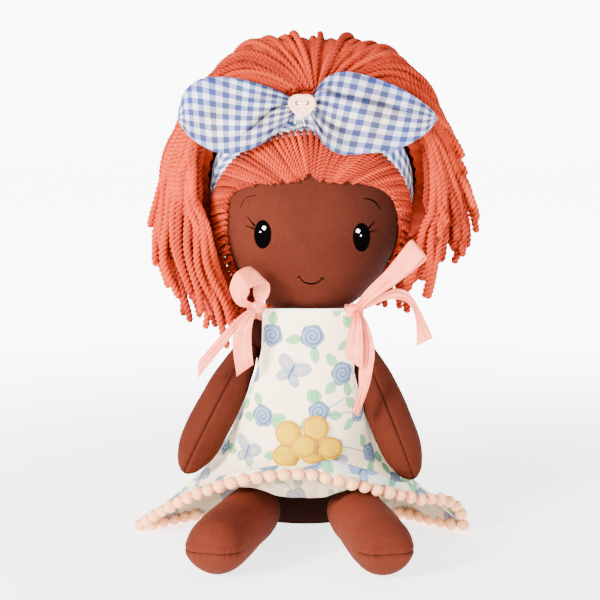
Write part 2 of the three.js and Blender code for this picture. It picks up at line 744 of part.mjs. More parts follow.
// The point of a level at side share s, from -1 on the left to 1 on the right.
function dressPoint(shares, isFront, s) {
  const [flare, height, rise, reach, edge, bunch] = shares;
  const side = s < 0 ? SIDES[0] : SIDES[1];
  const beside = flare > ARMHOLE_FLARE_SHARES[0] ? side.spreadShare : 1;
  const wideShare = flare < ARMHOLE_FLARE_SHARES[1] ? beside : side.hemShare;
  const half = (NECKLINE_HALF + (HEM_HALF - NECKLINE_HALF) * flare) * wideShare;
  const inner = cos(s * PI / 2) ** bunch;
  const lifted = isFront ? inner + hemWave(flare, s) : inner;
  const sideHeight = hemSide + (NECKLINE_HEIGHT - CLEAR - hemSide) * height;
  const lowest = isFront ? HEM_LIFT : hemSide;
  const highest = isFront ? NECKLINE_HEIGHT : BACK_NECKLINE_HEIGHT;
  const middleHeight = lowest + (highest - lowest) * rise;
  const edgeY = -SIDE_REACH * edge + (!isFront && edge > 0 ? SEAM_GAP : 0);
  const middleY = isFront
    ? -(CHEST_REACH + (LAP_REACH - CHEST_REACH) * reach)
    : BACK_NECK_REACH + (BACK_REACH - BACK_NECK_REACH) * reach;
  return V(
    half * sin(s * PI / 2),
    edgeY + (middleY - edgeY) * inner,
    sideHeight + (middleHeight - sideHeight) * lifted,
  );
}

const sideShares = (columns) => Array.from({ length: columns + 1 }, (_, i) => 2 * i / columns - 1);

// A level's row of points; the last one stops short of the trim's centre line.
function dressRow(table, isFront, r, columns) {
  return sideShares(columns).map((s) => {
    const point = dressPoint(table[r], isFront, s);
    if (r < table.length - 1) return point;
    const above = dressPoint(table[r - 1], isFront, s);
    return point.addScaledVector(above.sub(point).normalize(), POM_RADIUS + FABRIC + CLEAR);
  });
}

const NUDGE_SHARE = 0.01; // small step across the panel, for its direction

// A point on the front panel's outer face, between two rows, and the panel's direction there.
function onDress(level, s) {
  const below = min(Math.floor(level), FRONT_SHARES.length - 2);
  const place = (at) => dressPoint(FRONT_SHARES[below], true, at)
    .lerp(dressPoint(FRONT_SHARES[below + 1], true, at), level - below);
  const across = place(s + NUDGE_SHARE).sub(place(s - NUDGE_SHARE));
  const rowAt = (row) => dressPoint(FRONT_SHARES[row], true, s);
  const down = rowAt(below + 1).sub(rowAt(below));
  const inwards = across.clone().cross(down).normalize();
  return { point: place(s), inwards, down, across };
}

function dressPanel(name, table, isFront) {
  const columns = isFront ? 16 : 12;
  const grid = table.map((_, r) => dressRow(table, isFront, r, columns));
  if (isFront) return named(name, sheet(grid, FABRIC), PRINT);
  const backwards = grid.map((row) => row.toReversed());
  return named(name, sheet(backwards, FABRIC), PRINT);
}

// Height of a thigh's top at a place, or 0 beside the thighs and the room that they sway in.
function thighTop(x, y) {
  const side = x < 0 ? SIDES[0] : SIDES[1];
  const hipAt = hipPoint(side);
  const middle = hipAt.x - side.sign * (y - hipAt.y) * tan(side.legOut * DEG);
  const off = max(0, abs(x - middle) * cos(side.legOut * DEG) - LEG_SWAY) / (LEG_WIDTH / 2);
  return off < 1 ? HIP_HEIGHT + LEG_THICKNESS / 2 * sqrt(1 - off * off) : 0;
}

// The facing inside the front hem: it hangs down to the thighs, and lower between them.
const FACING_SPAN_SHARE = 0.52;
const FACING_BACK_SHARE = 0.25;

function hemFacing() {
  const columns = 16;
  const tops = [];
  const bottoms = [];
  for (const s of sideShares(columns)) {
    const { point, inwards, down } = onDress(FRONT_SHARES.length - 1, s * FACING_SPAN_SHARE);
    const top = point
      .addScaledVector(down.normalize(), -(POM_RADIUS + 2 * FABRIC + CLEAR))
      .addScaledVector(inwards, FABRIC + WIDE_CLEAR);
    const room = top.z - thighTop(top.x, top.y) - 2 * FABRIC - WIDE_CLEAR;
    const deep = max(FABRIC, min(FACING_DEPTH, room));
    tops.push(top);
    bottoms.push(top.clone().add(V(0, FACING_BACK_SHARE * deep, -deep)));
  }
  const middles = tops.map((top, i) => top.clone().lerp(bottoms[i], 0.5));
  return named('dress_hem_facing', sheet([bottoms, middles, tops], FABRIC), PRINT);
}

// A row of pom-poms on their tape, along the hem from side seam to side seam: one solid
// whose section swells at every pom-pom. Stations: [share of radius along, share of radius out].
const POM_SHARES = [[-0.93, 0.25], [-0.45, 0.89], [0.45, 0.89], [0.93, 0.25]];

function pomTrim(name, table, isFront) {
  const line = sideShares(60).map((s) => {
    const point = dressPoint(table.at(-1), isFront, s);
    if (!isFront) point.z = POM_RADIUS;
    return point;
  });
  const curve = new THREE.CatmullRomCurve3(line, false, 'centripetal');
  const count = Math.round(curve.getLength() / POM_PITCH);
  const all = curve.getSpacedPoints(count);
  const centres = isFront ? all : all.slice(1, -1);
  const sections = [];
  centres.forEach((centre, i) => {
    const next = centres[min(i + 1, centres.length - 1)];
    const ahead = next.clone().sub(centres[max(i - 1, 0)]).normalize();
    const across = ahead.clone().cross(V(0, 0, 1)).normalize();
    const up = across.clone().cross(ahead);
    for (const [along, out] of POM_SHARES) {
      const points = [];
      for (let k = 0; k < 6; k += 1) {
        const turn = 2 * PI * k / 6;
        points.push(centre.clone()
          .addScaledVector(ahead, along * POM_RADIUS)
          .addScaledVector(across, out * POM_RADIUS * cos(turn))
          .addScaledVector(up, out * POM_RADIUS * sin(turn)));
      }
      sections.push(points);
    }
  });
  return named(name, loft(sections), POMPOM);
}

// The flower lies on the front panel, bent with it: a round centre on a five-petalled piece of felt.
const FLOWER_LEVEL = 6.35; // place between the rows of the front panel
const PETAL_COUNT = 5;
const PETAL_SHARE = 0.36;
const FLOWER_CENTRE_SHARE = 0.34;
const FLOWER_TURN_DEG = -6;

// Bends a flat piece that lies in the XY plane on to the dress.
function layOnDress(geometry) {
  const middle = onDress(FLOWER_LEVEL, 0);
  const levelPerLength = 1 / middle.down.length();
  const sharePerLength = 2 * NUDGE_SHARE / middle.across.length();
  const at = geometry.getAttribute('position');
  for (let i = 0; i < at.count; i += 1) {
    const level = FLOWER_LEVEL - at.getY(i) * levelPerLength;
    const { point, inwards } = onDress(level, at.getX(i) * sharePerLength);
    point.addScaledVector(inwards, -at.getZ(i));
    at.setXYZ(i, point.x, point.y, point.z);
  }
  return weld(geometry);
}

function felt(radius, sides) {
  const disc = new THREE.CylinderGeometry(radius, radius, FELT, sides);
  return disc.rotateX(PI / 2).translate(0, 0, FELT / 2 + 2 * CLEAR);
}

function flower() {
  const petals = [felt(FLOWER_RADIUS * (1 - PETAL_SHARE), 10)];
  for (let i = 0; i < PETAL_COUNT; i += 1) {
    const turn = FLOWER_TURN_DEG * DEG + 2 * PI * i / PETAL_COUNT;
    const away = FLOWER_RADIUS * (1 - PETAL_SHARE);
    petals.push(felt(FLOWER_RADIUS * PETAL_SHARE, 10).translate(away * cos(turn), away * sin(turn), 0));
  }
  const centre = felt(FLOWER_RADIUS * FLOWER_CENTRE_SHARE, 10).translate(0, 0, FELT + CLEAR);
  return [
    named('flower_petals', layOnDress(joined(petals)), YELLOW_FELT),
    named('flower_centre', layOnDress(centre), YELLOW_FELT),
  ];
}

// A flat ribbon along a path; faces gives the direction that its face looks at, at both ends.
function ribbon(points, faces, steps) {
  const line = smoothPath(points, steps);
  const sections = line.map((centre, i) => {
    const ahead = line[min(i + 1, steps)].clone().sub(line[max(i - 1, 0)]).normalize();
    const face = faces[0].clone().lerp(faces[1], i / steps).normalize();
    const across = ahead.clone().cross(face).normalize();
    const out = across.clone().cross(ahead);
    const corner = (a, b) => centre.clone()
      .addScaledVector(across, a * RIBBON_WIDTH / 2)
      .addScaledVector(out, b * RIBBON_THICKNESS / 2);
    return [corner(-1, -1), corner(1, -1), corner(1, 1), corner(-1, 1)];
  });
  return loft(sections);
}

// Shoulder ties: each is knotted above the shoulder, in front of it. Places are measured from the knot.
const KNOT_OUT_SHARE = 1.1;

function knotPoint(side) {
  return V(side.sign * KNOT_OUT_SHARE * NECKLINE_HALF, -KNOT_FORWARD, KNOT_HEIGHT);
}

// Paths of the loops and tails, as shares of the loop's reach and of the tail's drop.
const LEFT_LOOP_SHARES = [
  [-0.03, 0, 0.06], [-0.5, -0.25, 0.5], [-0.45, -0.4, 0.95],
  [0.02, -0.45, 1.08], [0.36, -0.4, 0.7], [0.03, -0.06, 0.06],
];
const RIGHT_LOOP_SHARES = [
  [0, 0, 0.06], [0.7, -0.35, 0.6], [1.35, -0.6, 1.25], [1.65, -0.75, 1.45],
  [1.3, -0.8, 1], [0.6, -0.5, 0.35], [0, -0.06, 0],
];
const LEFT_TAILS_SHARES = [
  [[-0.03, 0, 0], [-0.25, -0.03, -0.35], [-0.55, -0.03, -0.66], [-0.84, 0, -0.9]],
  [[0, -0.05, 0], [-0.08, -0.12, -0.5], [-0.16, -0.12, -1]],
];
const RIGHT_TAILS_SHARES = [
  [[0.12, 0, -0.05], [0.42, -0.02, -0.05], [0.75, -0.04, -0.06], [0.98, -0.04, -0.3], [1.08, -0.02, -0.62]],
  [[0.02, -0.05, 0], [0.16, -0.12, -0.5], [0.24, -0.13, -1], [0.05, -0.14, -1.4]],
];

function shoulderTie(side) {
  const knot = knotPoint(side);
  const shares = side.sign < 0 ? LEFT_LOOP_SHARES : RIGHT_LOOP_SHARES;
  const loopPath = shares.map(([x, y, z]) => V(x, y, z).multiplyScalar(LOOP_REACH).add(knot));
  const loop = ribbon(loopPath, [V(-1, -0.4, 0.3), V(1, -0.4, 0.3)], 12);
  const ball = new THREE.SphereGeometry(KNOT_RADIUS, 8, 6).translate(knot.x, knot.y, knot.z);
  const overShoulder = V(knot.x, TORSO_Y, SHOULDER_HEIGHT + TAB_RADIUS + STRAP_CLEAR);
  const backCorner = V(
    side.sign * (NECKLINE_HALF - RIBBON_WIDTH / 3),
    BACK_NECK_REACH,
    BACK_NECKLINE_HEIGHT + STRAP_CLEAR,
  );
  const overCorner = V(knot.x, (knot.y - CHEST_REACH) / 2, KNOT_HEIGHT + KNOT_RADIUS);
  const strap = ribbon([knot, overCorner, overShoulder, backCorner], [V(0, -0.3, 1), V(0, 1, 0.6)], 8);
  return named(`${side.name}_shoulder_tie`, joined([ball, loop, strap]), SATIN);
}

function tieTails(side) {
  const knot = knotPoint(side);
  const tails = side.sign < 0 ? LEFT_TAILS_SHARES : RIGHT_TAILS_SHARES;
  return tails.map((shares, i) => {
    const below = V(0, 0, -KNOT_RADIUS - CLEAR);
    const path = shares.map(([x, y, z]) => V(x, y, z).multiplyScalar(TAIL_DROP).add(knot).add(below));
    const geometry = ribbon(path, [V(0, -1, 0.2), V(0.2, -1, 0.2)], 8);
    return named(`${side.name}_tie_tail_${i + 1}`, geometry, SATIN);
  });
}

const doll = new THREE.Group();
doll.add(torso(), neck(), head());
for (const side of SIDES) {
  doll.add(tab(`${side.name}_arm_tab`, shoulderPoint(side)), arm(side));
  doll.add(tab(`${side.name}_leg_tab`, hipPoint(side)), leg(side));
}
doll.add(dressPanel('dress_front_panel', FRONT_SHARES, true));
doll.add(dressPanel('dress_back_panel', BACK_SHARES, false));
doll.add(hemFacing());
doll.add(pomTrim('pom_trim_front', FRONT_SHARES, true));
doll.add(pomTrim('pom_trim_back', BACK_SHARES, false));
doll.add(...flower());
for (const side of SIDES) doll.add(shoulderTie(side), ...tieTails(side));

export default doll;
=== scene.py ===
"""The looks of the rag doll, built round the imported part. Lengths here are in millimetres until a
mesh is made; +Z is up, the doll faces -Y and +X is on the viewer's right."""
import math

import bmesh
import bpy
import numpy as np
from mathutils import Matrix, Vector, noise


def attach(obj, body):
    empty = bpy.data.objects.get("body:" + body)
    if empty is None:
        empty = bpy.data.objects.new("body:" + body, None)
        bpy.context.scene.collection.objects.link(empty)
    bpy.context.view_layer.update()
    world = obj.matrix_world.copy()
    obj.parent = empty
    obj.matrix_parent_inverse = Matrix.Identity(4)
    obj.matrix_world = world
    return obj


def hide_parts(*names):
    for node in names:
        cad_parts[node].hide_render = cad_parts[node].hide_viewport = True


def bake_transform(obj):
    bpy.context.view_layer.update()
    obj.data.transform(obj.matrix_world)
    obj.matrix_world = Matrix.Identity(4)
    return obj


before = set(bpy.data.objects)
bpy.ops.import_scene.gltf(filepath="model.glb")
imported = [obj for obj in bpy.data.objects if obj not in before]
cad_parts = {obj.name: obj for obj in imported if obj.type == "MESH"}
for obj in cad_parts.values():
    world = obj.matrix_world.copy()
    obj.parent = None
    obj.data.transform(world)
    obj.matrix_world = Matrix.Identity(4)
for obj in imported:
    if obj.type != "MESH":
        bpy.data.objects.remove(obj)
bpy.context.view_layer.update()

MM = 0.001

# ---------------------------------------------------------------- camera, light and floor

AIM = (-3.0, 0.0, 130.0)
DISTANCE = 1000.0
TILT = math.radians(9)
FOCAL_PX = 1750.0
PHOTO_PX = 600
MIDDLE_PX = PHOTO_PX / 2


def add_camera():
    data = bpy.data.cameras.new("camera")
    data.sensor_width = 36
    data.lens = FOCAL_PX / PHOTO_PX * data.sensor_width
    data.clip_end = 20
    camera = bpy.data.objects.new("camera", data)
    height = AIM[2] + DISTANCE * math.sin(TILT)
    camera.location = (AIM[0] * MM, -DISTANCE * math.cos(TILT) * MM, height * MM)
    camera.rotation_euler = (math.pi / 2 - TILT, 0, 0)
    bpy.context.scene.collection.objects.link(camera)
    bpy.context.scene.camera = camera


def add_area(name, place, look_at, size, power, color=(1, 1, 1)):
    data = bpy.data.lights.new(name, "AREA")
    data.shape = "DISK"
    data.size = size
    data.energy = power
    data.color = color
    light = bpy.data.objects.new(name, data)
    light.location = place
    light.rotation_euler = (Vector(look_at) - Vector(place)).to_track_quat("-Z", "Y").to_euler()
    bpy.context.scene.collection.objects.link(light)


def at(u, v, y):
    """The point in millimetres that the camera sees at pixel (u, v) of the photo, at depth y."""
    k = (MIDDLE_PX - v) / FOCAL_PX
    up = (k * (DISTANCE + math.cos(TILT) * y) - math.sin(TILT) * y) / (math.cos(TILT) + math.sin(TILT) * k)
    depth = DISTANCE + math.cos(TILT) * y - math.sin(TILT) * up
    return np.array([(u - MIDDLE_PX) * depth / FOCAL_PX + AIM[0], y, AIM[2] + up])


def to_pixels(points):
    """Where the camera sees points: the pixels that at() would turn back into them."""
    height = points[..., 2] - AIM[2]
    depth = DISTANCE + math.cos(TILT) * points[..., 1] - math.sin(TILT) * height
    up = math.sin(TILT) * points[..., 1] + math.cos(TILT) * height
    u = MIDDLE_PX + FOCAL_PX * (points[..., 0] - AIM[0]) / depth
    return np.stack([u, MIDDLE_PX - FOCAL_PX * up / depth], -1)


# ---------------------------------------------------------------- the part's own sizes

# The *_SHARES tables: share of the length from the top down, then of half width, front and back depth.
TORSO_Y = 5.0
TORSO = dict(length=112.5, half=30.0, front=17.0, back=17.0)
TORSO_SHARES = [
    (0, 0.36, 0.62, 0.62), (0.006, 0.56, 0.66, 0.66), (0.018, 0.76, 0.7, 0.7), (0.045, 0.89, 0.75, 0.75),
    (0.12, 0.925, 0.85, 0.85), (0.35, 0.94, 0.95, 0.95), (0.8, 1, 1, 1), (0.93, 0.98, 0.95, 0.97),
    (0.985, 0.9, 0.82, 0.86), (1, 0.8, 0.7, 0.76), (1, 0.3, 0, 0),
]
ARM = dict(length=82.0, half=10.5, front=12.2, back=12.2)
ARM_SHARES = [
    (0, 0.5, 0.5, 0.5), (0.16, 0.76, 0.76, 0.76), (0.32, 0.9, 0.92, 0.92), (0.5, 1, 1, 1), (0.68, 0.99, 1, 1),
    (0.81, 0.87, 0.9, 0.9), (0.91, 0.66, 0.66, 0.66), (0.97, 0.4, 0.4, 0.4), (1, 0.14, 0, 0),
]
LEG = dict(length=107.0, half=16.0, front=16.5, back=16.35)
LEG_SHARES = [
    (0, 0.42, 0.3, 0.28), (0.05, 0.58, 0.46, 0.31), (0.12, 0.78, 0.72, 0.52), (0.22, 0.94, 0.93, 1),
    (0.45, 0.97, 1, 1), (0.74, 1, 1, 1), (0.88, 0.98, 0.93, 0.9), (0.955, 0.84, 0.66, 0.62),
    (0.99, 0.62, 0.33, 0.3), (1, 0.46, 0, 0),
]
# A tab of cotton joins each limb: its reach to each side of the point it turns about, its radius,
# and its place on the torso.
TAB = 4.3
TAB_RADIUS = 3.85
SHOULDER_Z = 107.0
SHOULDER_FORWARD = 3
HIP_Z = 16.5
HIP_ROUND = math.radians(48)
HIP_GAP = 0.3
# Degrees that each arm and leg lies out and the arm hangs forward; shares of the dress's width.
SIDES = {
    "left": dict(sign=-1, arm_out=26.0, leg_out=14.8, arm_forward=23.0, dress_beside=1.03, dress_hem=1.0),
    "right": dict(sign=1, arm_out=21.0, leg_out=10.9, arm_forward=21.0, dress_beside=0.93, dress_hem=0.957),
}
# How far each thigh may move sideways under the dress.
LEG_SWAY = 8.0
# The point about which the head turns, and the head's centre from there.
NECK = np.array([1.5, 5.0, 117.0])
HEAD_CENTRE = np.array([0.0, -1.0, 72.0])
HEAD_TILT = 1.7
# Half sizes of the head, and the share by which it is wider above its middle and narrower below.
HEAD = np.array([55.0, 38.0, 70.0])
EGG = 0.1
# The headband and the hair's upper edge lie on planes that lean back.
BAND_LEAN = math.radians(28)
BAND_SET_BACK = -5.0
CROWN_SET_BACK = 2.0
BAND_WIDTH = 14.0
POM_RADIUS = 3.5
POM_PITCH = 7.6
RIBBON_WIDTH = 12.0
# Cut cloth is this much longer than it measures in place.
SLACK = 1.02


def unit(vectors):
    """The same directions, each of length 1."""
    return vectors / np.maximum(np.linalg.norm(vectors, axis=-1, keepdims=True), 1e-9)


def full_turn(count):
    """Angles evenly round a circle."""
    return np.linspace(0, math.tau, count, endpoint=False)


def points_of(*parts):
    """Points, or places on a cloth, from the arrays of their coordinates."""
    return np.stack(np.broadcast_arrays(*parts), -1)


def turned(x, y, a):
    """The same places, seen from axes that are turned by an angle."""
    return x * math.cos(a) + y * math.sin(a), y * math.cos(a) - x * math.sin(a)


def turn(axis, degrees):
    a = math.radians(degrees)
    c, s = math.cos(a), math.sin(a)
    rows = {
        "x": [[1, 0, 0], [0, c, -s], [0, s, c]],
        "y": [[c, 0, s], [0, 1, 0], [-s, 0, c]],
        "z": [[c, -s, 0], [s, c, 0], [0, 0, 1]],
    }
    return np.array(rows[axis])


HEAD_TURN = turn("y", HEAD_TILT)


def in_head(points):
    """Points given from the head's centre, placed in the row frame."""
    return (np.asarray(points) + HEAD_CENTRE) @ HEAD_TURN.T + NECK


def from_head(points):
    """What in_head() was given for these points."""
    return (np.asarray(points) - NECK) @ HEAD_TURN - HEAD_CENTRE


def table_at(height, column):
    """Half width (column 1) or front depth (column 2) of the torso at a height."""
    shares = np.array(TORSO_SHARES[:-1])
    along = 1 - height / TORSO["length"]
    return np.interp(along, shares[:, 0], shares[:, column]) * TORSO["half" if column == 1 else "front"]


def shoulder(sign):
    """The point about which an arm turns."""
    round_to = math.asin(SHOULDER_FORWARD / table_at(SHOULDER_Z, 2))
    out = table_at(SHOULDER_Z, 1) * math.cos(round_to) + TAB
    return np.array([sign * out, TORSO_Y - SHOULDER_FORWARD, SHOULDER_Z])


def hip(sign):
    """The point about which a leg turns."""
    half, front = table_at(HIP_Z, 1), table_at(HIP_Z, 2)
    c, s = math.cos(HIP_ROUND), math.sin(HIP_ROUND)
    out = unit(np.array([c / half, -s / front])) * (TAB + HIP_GAP)
    return np.array([sign * (half * c + out[0]), TORSO_Y - front * s + out[1], HIP_Z])


def in_arm(side, points):
    """Points given from the arm's seam, the arm hanging down -Z, placed at the shoulder."""
    own = SIDES[side]
    p = points @ turn("z", own["sign"] * 90).T - [0, 0, TAB]
    hang = turn("x", -own["arm_forward"]) @ turn("y", -own["sign"] * own["arm_out"])
    return p @ hang.T + shoulder(own["sign"])


def in_leg(side, points):
    """Points given from the leg's seam, the leg hanging down -Z, laid forward from the hip."""
    own = SIDES[side]
    p = points @ turn("x", -90).T - [0, TAB, 0]
    return p @ turn("z", own["sign"] * own["leg_out"]).T + hip(own["sign"])


# ---------------------------------------------------------------- meshes


def smoothstep(low, high, x):
    t = np.clip((x - low) / (high - low), 0, 1)
    return t * t * (3 - 2 * t)


def hermite(values, at_index):
    """Smooth values between the rows of a table, at fractional row numbers."""
    values = np.asarray(values, float)
    at_index = np.asarray(at_index, float)
    last = len(values) - 1
    i = np.clip(np.floor(at_index).astype(int), 0, last - 1)
    t = (at_index - i)[:, None]
    slope = np.gradient(values, axis=0)
    a, b, ma, mb = values[i], values[i + 1], slope[i], slope[i + 1]
    t2, t3 = t * t, t * t * t
    return (2 * t3 - 3 * t2 + 1) * a + (t3 - 2 * t2 + t) * ma + (3 * t2 - 2 * t3) * b + (t3 - t2) * mb


def quads(rows, columns, closed=False, first=0):
    """Faces of a grid of points; closed joins its last column to its first."""
    last = columns if closed else columns - 1
    r, c = np.meshgrid(np.arange(rows - 1), np.arange(last), indexing="ij")
    n = (c + 1) % columns
    faces = np.stack([r * columns + c, r * columns + n, (r + 1) * columns + n, (r + 1) * columns + c], -1)
    return faces.reshape(-1, 4) + first


def tube(rows, around, caps=2, first=0):
    """Faces of a tube of rings, with a cap on its first ring and, if there are two, on its last."""
    ring = np.arange(around)[None, :] + first
    return [quads(rows, around, True, first)] + [ring[:, ::-1], ring + (rows - 1) * around][:caps]


def disc(rings, around):
    """Faces of a disc: point 0 in the middle, then rings of points."""
    k = np.arange(around)
    return [points_of(0, 1 + k, 1 + (k + 1) % around), quads(rings, around, True, 1)[:, ::-1]]


def make(name, points, faces, material, uv=None, tone=None, extra=()):
    """A smooth mesh object from points in millimetres and an array of faces, or a list of arrays."""
    points = np.asarray(points, float).reshape(-1, 3) * MM
    groups = [g for g in map(np.asarray, faces if isinstance(faces, list) else [faces]) if len(g)]
    loops = np.concatenate([g.ravel() for g in groups])
    sizes = np.concatenate([np.full(len(g), g.shape[1]) for g in groups])
    starts = np.concatenate([[0], np.cumsum(sizes)[:-1]])
    mesh = bpy.data.meshes.new(name)
    mesh.vertices.add(len(points))
    mesh.vertices.foreach_set("co", points.ravel())
    mesh.loops.add(len(loops))
    mesh.loops.foreach_set("vertex_index", loops.astype(np.int32))
    mesh.polygons.add(len(sizes))
    mesh.polygons.foreach_set("loop_start", starts.astype(np.int32))
    mesh.polygons.foreach_set("loop_total", sizes.astype(np.int32))
    mesh.polygons.foreach_set("use_smooth", np.ones(len(sizes), bool))
    if uv is not None:
        layer = mesh.uv_layers.new(name="cloth")
        layer.data.foreach_set("uv", np.asarray(uv, np.float32).reshape(-1, 2)[loops].ravel())
    colors = np.ones((len(points), 4), np.float32)
    if tone is not None:
        colors[:, :3] = np.reshape(tone, (len(points), -1))
    mesh.color_attributes.new("tone", "FLOAT_COLOR", "POINT").data.foreach_set("color", colors.ravel())
    for each in (material, *extra):
        mesh.materials.append(each)
    mesh.update()
    mesh.validate()
    obj = bpy.data.objects.new(name, mesh)
    bpy.context.scene.collection.objects.link(obj)
    return obj


def dress_up(obj, body, nodes=()):
    """What the frame has to know of a piece: its body and the nodes it stands for."""
    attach(obj, body)
    if nodes:
        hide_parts(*nodes)
    return obj


def wobble(points, size, seed=0.0):
    """A smooth random value from -1 to 1 at each point; size is the length of one ripple."""
    places = points.reshape(-1, 3) / size + [seed, 0, -seed]
    return np.array([noise.noise(Vector(p)) for p in places]).reshape(points.shape[:-1])


def normals_of(grid, closed):
    """Unit normals of a grid of points, its columns to the right and its rows going down."""
    if closed:
        across = np.roll(grid, -1, 1) - np.roll(grid, 1, 1)
    else:
        across = np.gradient(grid, axis=1)
    down = np.gradient(grid, axis=0)
    return unit(np.cross(down, across))


def lengths(grid, axis):
    """How far each point of a grid or path lies from its start, along its rows or columns."""
    step = np.linalg.norm(np.diff(grid, axis=axis), axis=-1)
    zero = np.zeros_like(np.take(step, [0], axis=axis))
    return np.concatenate([zero, np.cumsum(step, axis=axis)], axis=axis)


def thicken(obj, thickness, inner=0):
    layer = obj.modifiers.new("cloth", "SOLIDIFY")
    layer.thickness = thickness * MM
    layer.offset = -1
    layer.material_offset = inner
    layer.material_offset_rim = inner
    return obj


# ---------------------------------------------------------------- materials


class Nodes:
    """A short way to write a node material."""

    def __init__(self, name):
        self.material = bpy.data.materials.new(name)
        self.material.use_nodes = True
        self.tree = self.material.node_tree
        self.shader = self.tree.nodes["Principled BSDF"]

    def add(self, kind, inputs=None, **settings):
        node = self.tree.nodes.new(kind)
        for key, value in settings.items():
            setattr(node, key, value)
        for key, value in (inputs or {}).items():
            self.give(node.inputs[key], value)
        return node

    def give(self, socket, value):
        if isinstance(value, bpy.types.NodeSocket):
            self.tree.links.new(value, socket)
        else:
            socket.default_value = value

    def math(self, operation, a, b=0.0, c=0.0):
        return self.add("ShaderNodeMath", {0: a, 1: b, 2: c}, operation=operation).outputs[0]

    def mix(self, factor, a, b, blend="MIX"):
        node = self.add("ShaderNodeMix", data_type="RGBA", blend_type=blend)
        self.give(node.inputs[0], factor)
        self.give(node.inputs[6], a)
        self.give(node.inputs[7], b)
        return node.outputs[2]

    def ramp(self, factor, stops):
        node = self.add("ShaderNodeValToRGB", {0: factor})
        elements = node.color_ramp.elements
        while len(elements) < len(stops):
            elements.new(0.5)
        for element, (place, color) in zip(elements, stops):
            element.position = place
            element.color = color
        return node.outputs[0]

    def noise(self, vector, scale, detail=3.0, rough=0.6):
        inputs = {"Vector": vector, "Scale": scale, "Detail": detail, "Roughness": rough}
        return self.add("ShaderNodeTexNoise", inputs).outputs["Fac"]

    def between(self, value, low, high):
        """0 up to the low value, rising evenly to 1 at the high one."""
        return self.add("ShaderNodeMapRange", {0: value, 1: low, 2: high}).outputs[0]

    def tone(self):
        """The colour, or the shade of light and dark, that is kept at the mesh's points."""
        return self.add("ShaderNodeVertexColor", layer_name="tone").outputs[0]

    def object(self):
        return self.add("ShaderNodeTexCoord").outputs["Object"]

    def cloth(self):
        return self.add("ShaderNodeUVMap", uv_map="cloth").outputs[0]

    def scaled(self, vector, x, y, z=1.0):
        node = self.add("ShaderNodeVectorMath", {0: vector, 1: (x, y, z)}, operation="MULTIPLY")
        return node.outputs[0]

    def bump(self, height, distance, strength=1.0, normal=None):
        inputs = {"Height": height, "Distance": distance * MM, "Strength": strength}
        if normal is not None:
            inputs["Normal"] = normal
        return self.add("ShaderNodeBump", inputs).outputs[0]

    def finish(self, color, normal, roughness, sheen=0.0, tint=(1, 1, 1, 1), **inputs):
        self.give(self.shader.inputs["Base Color"], color)
        if normal is not None:
            self.give(self.shader.inputs["Normal"], normal)
        inputs.update(Roughness=roughness, Sheen_Weight=sheen, Sheen_Roughness=0.5, Sheen_Tint=tint)
        for key, value in inputs.items():
            self.give(self.shader.inputs[key.replace("_", " ")], value)
        return self.material


def srgb(code):
    """A linear colour from a hexadecimal code."""
    values = [int(code[i:i + 2], 16) / 255 for i in (0, 2, 4)]
    return tuple(v / 12.92 if v <= 0.04045 else ((v + 0.055) / 1.055) ** 2.4 for v in values) + (1.0,)


# Distance between threads in mm.
COTTON_PITCH, GINGHAM_PITCH, PRINT_PITCH = 0.42, 0.3, 0.36


def waves(n, vector, pitch, axes):
    """Sines along the first axes of a vector in metres, two to the pitch in millimetres."""
    k = math.tau / (2 * pitch * MM)
    parts = n.add("ShaderNodeSeparateXYZ", {0: n.scaled(vector, k, k, k)}).outputs
    return [n.math("SINE", parts[i]) for i in range(axes)]


def weave(n, vector, pitch):
    """Height of a plain weave whose threads lie along the vector's first two directions."""
    return n.math("MULTIPLY", *waves(n, vector, pitch, 2))


def cotton(name, light, dark):
    """Plain woven cotton that has no cloth coordinates: the weave follows three sides of the object."""
    n = Nodes(name)
    place = n.object()
    x, y, z = waves(n, place, COTTON_PITCH, 3)
    threads = n.math("MULTIPLY_ADD", n.math("MULTIPLY", x, z), 1.0, n.math("MULTIPLY", y, n.math("ADD", x, z)))
    patches = n.noise(place, 38.0, 4.0)
    slub = n.noise(n.scaled(place, 1.0, 1.0, 0.12), 1400.0, 2.0)
    shade = n.math("MULTIPLY_ADD", slub, 0.45, n.math("MULTIPLY", patches, 0.65))
    color = n.mix(1.0, n.ramp(shade, [(0.3, dark), (0.72, light)]), n.tone(), "MULTIPLY")
    normal = n.bump(patches, 0.5, 0.35, n.bump(threads, 0.05, 0.6))
    return n.finish(color, normal, 0.9, 0.03, light, Specular_IOR_Level=0.06)


CHECK_REPEAT = 6.35
# The check from white to where both bands cross, in blue and in a greyer, worn shade.
CHECK_STEPS = (0.0, 0.2, 0.5, 0.8, 1.0)
CHECK_BLUE = [(0.78, 0.77, 0.8, 1), (0.68, 0.68, 0.76, 1), (0.2, 0.24, 0.47, 1), (0.06, 0.085, 0.27, 1),
              (0.04, 0.06, 0.21, 1)]
CHECK_WORN = [(0.86, 0.74, 0.62, 1), (0.74, 0.64, 0.56, 1), (0.27, 0.26, 0.33, 1), (0.085, 0.09, 0.17, 1),
              (0.06, 0.065, 0.13, 1)]


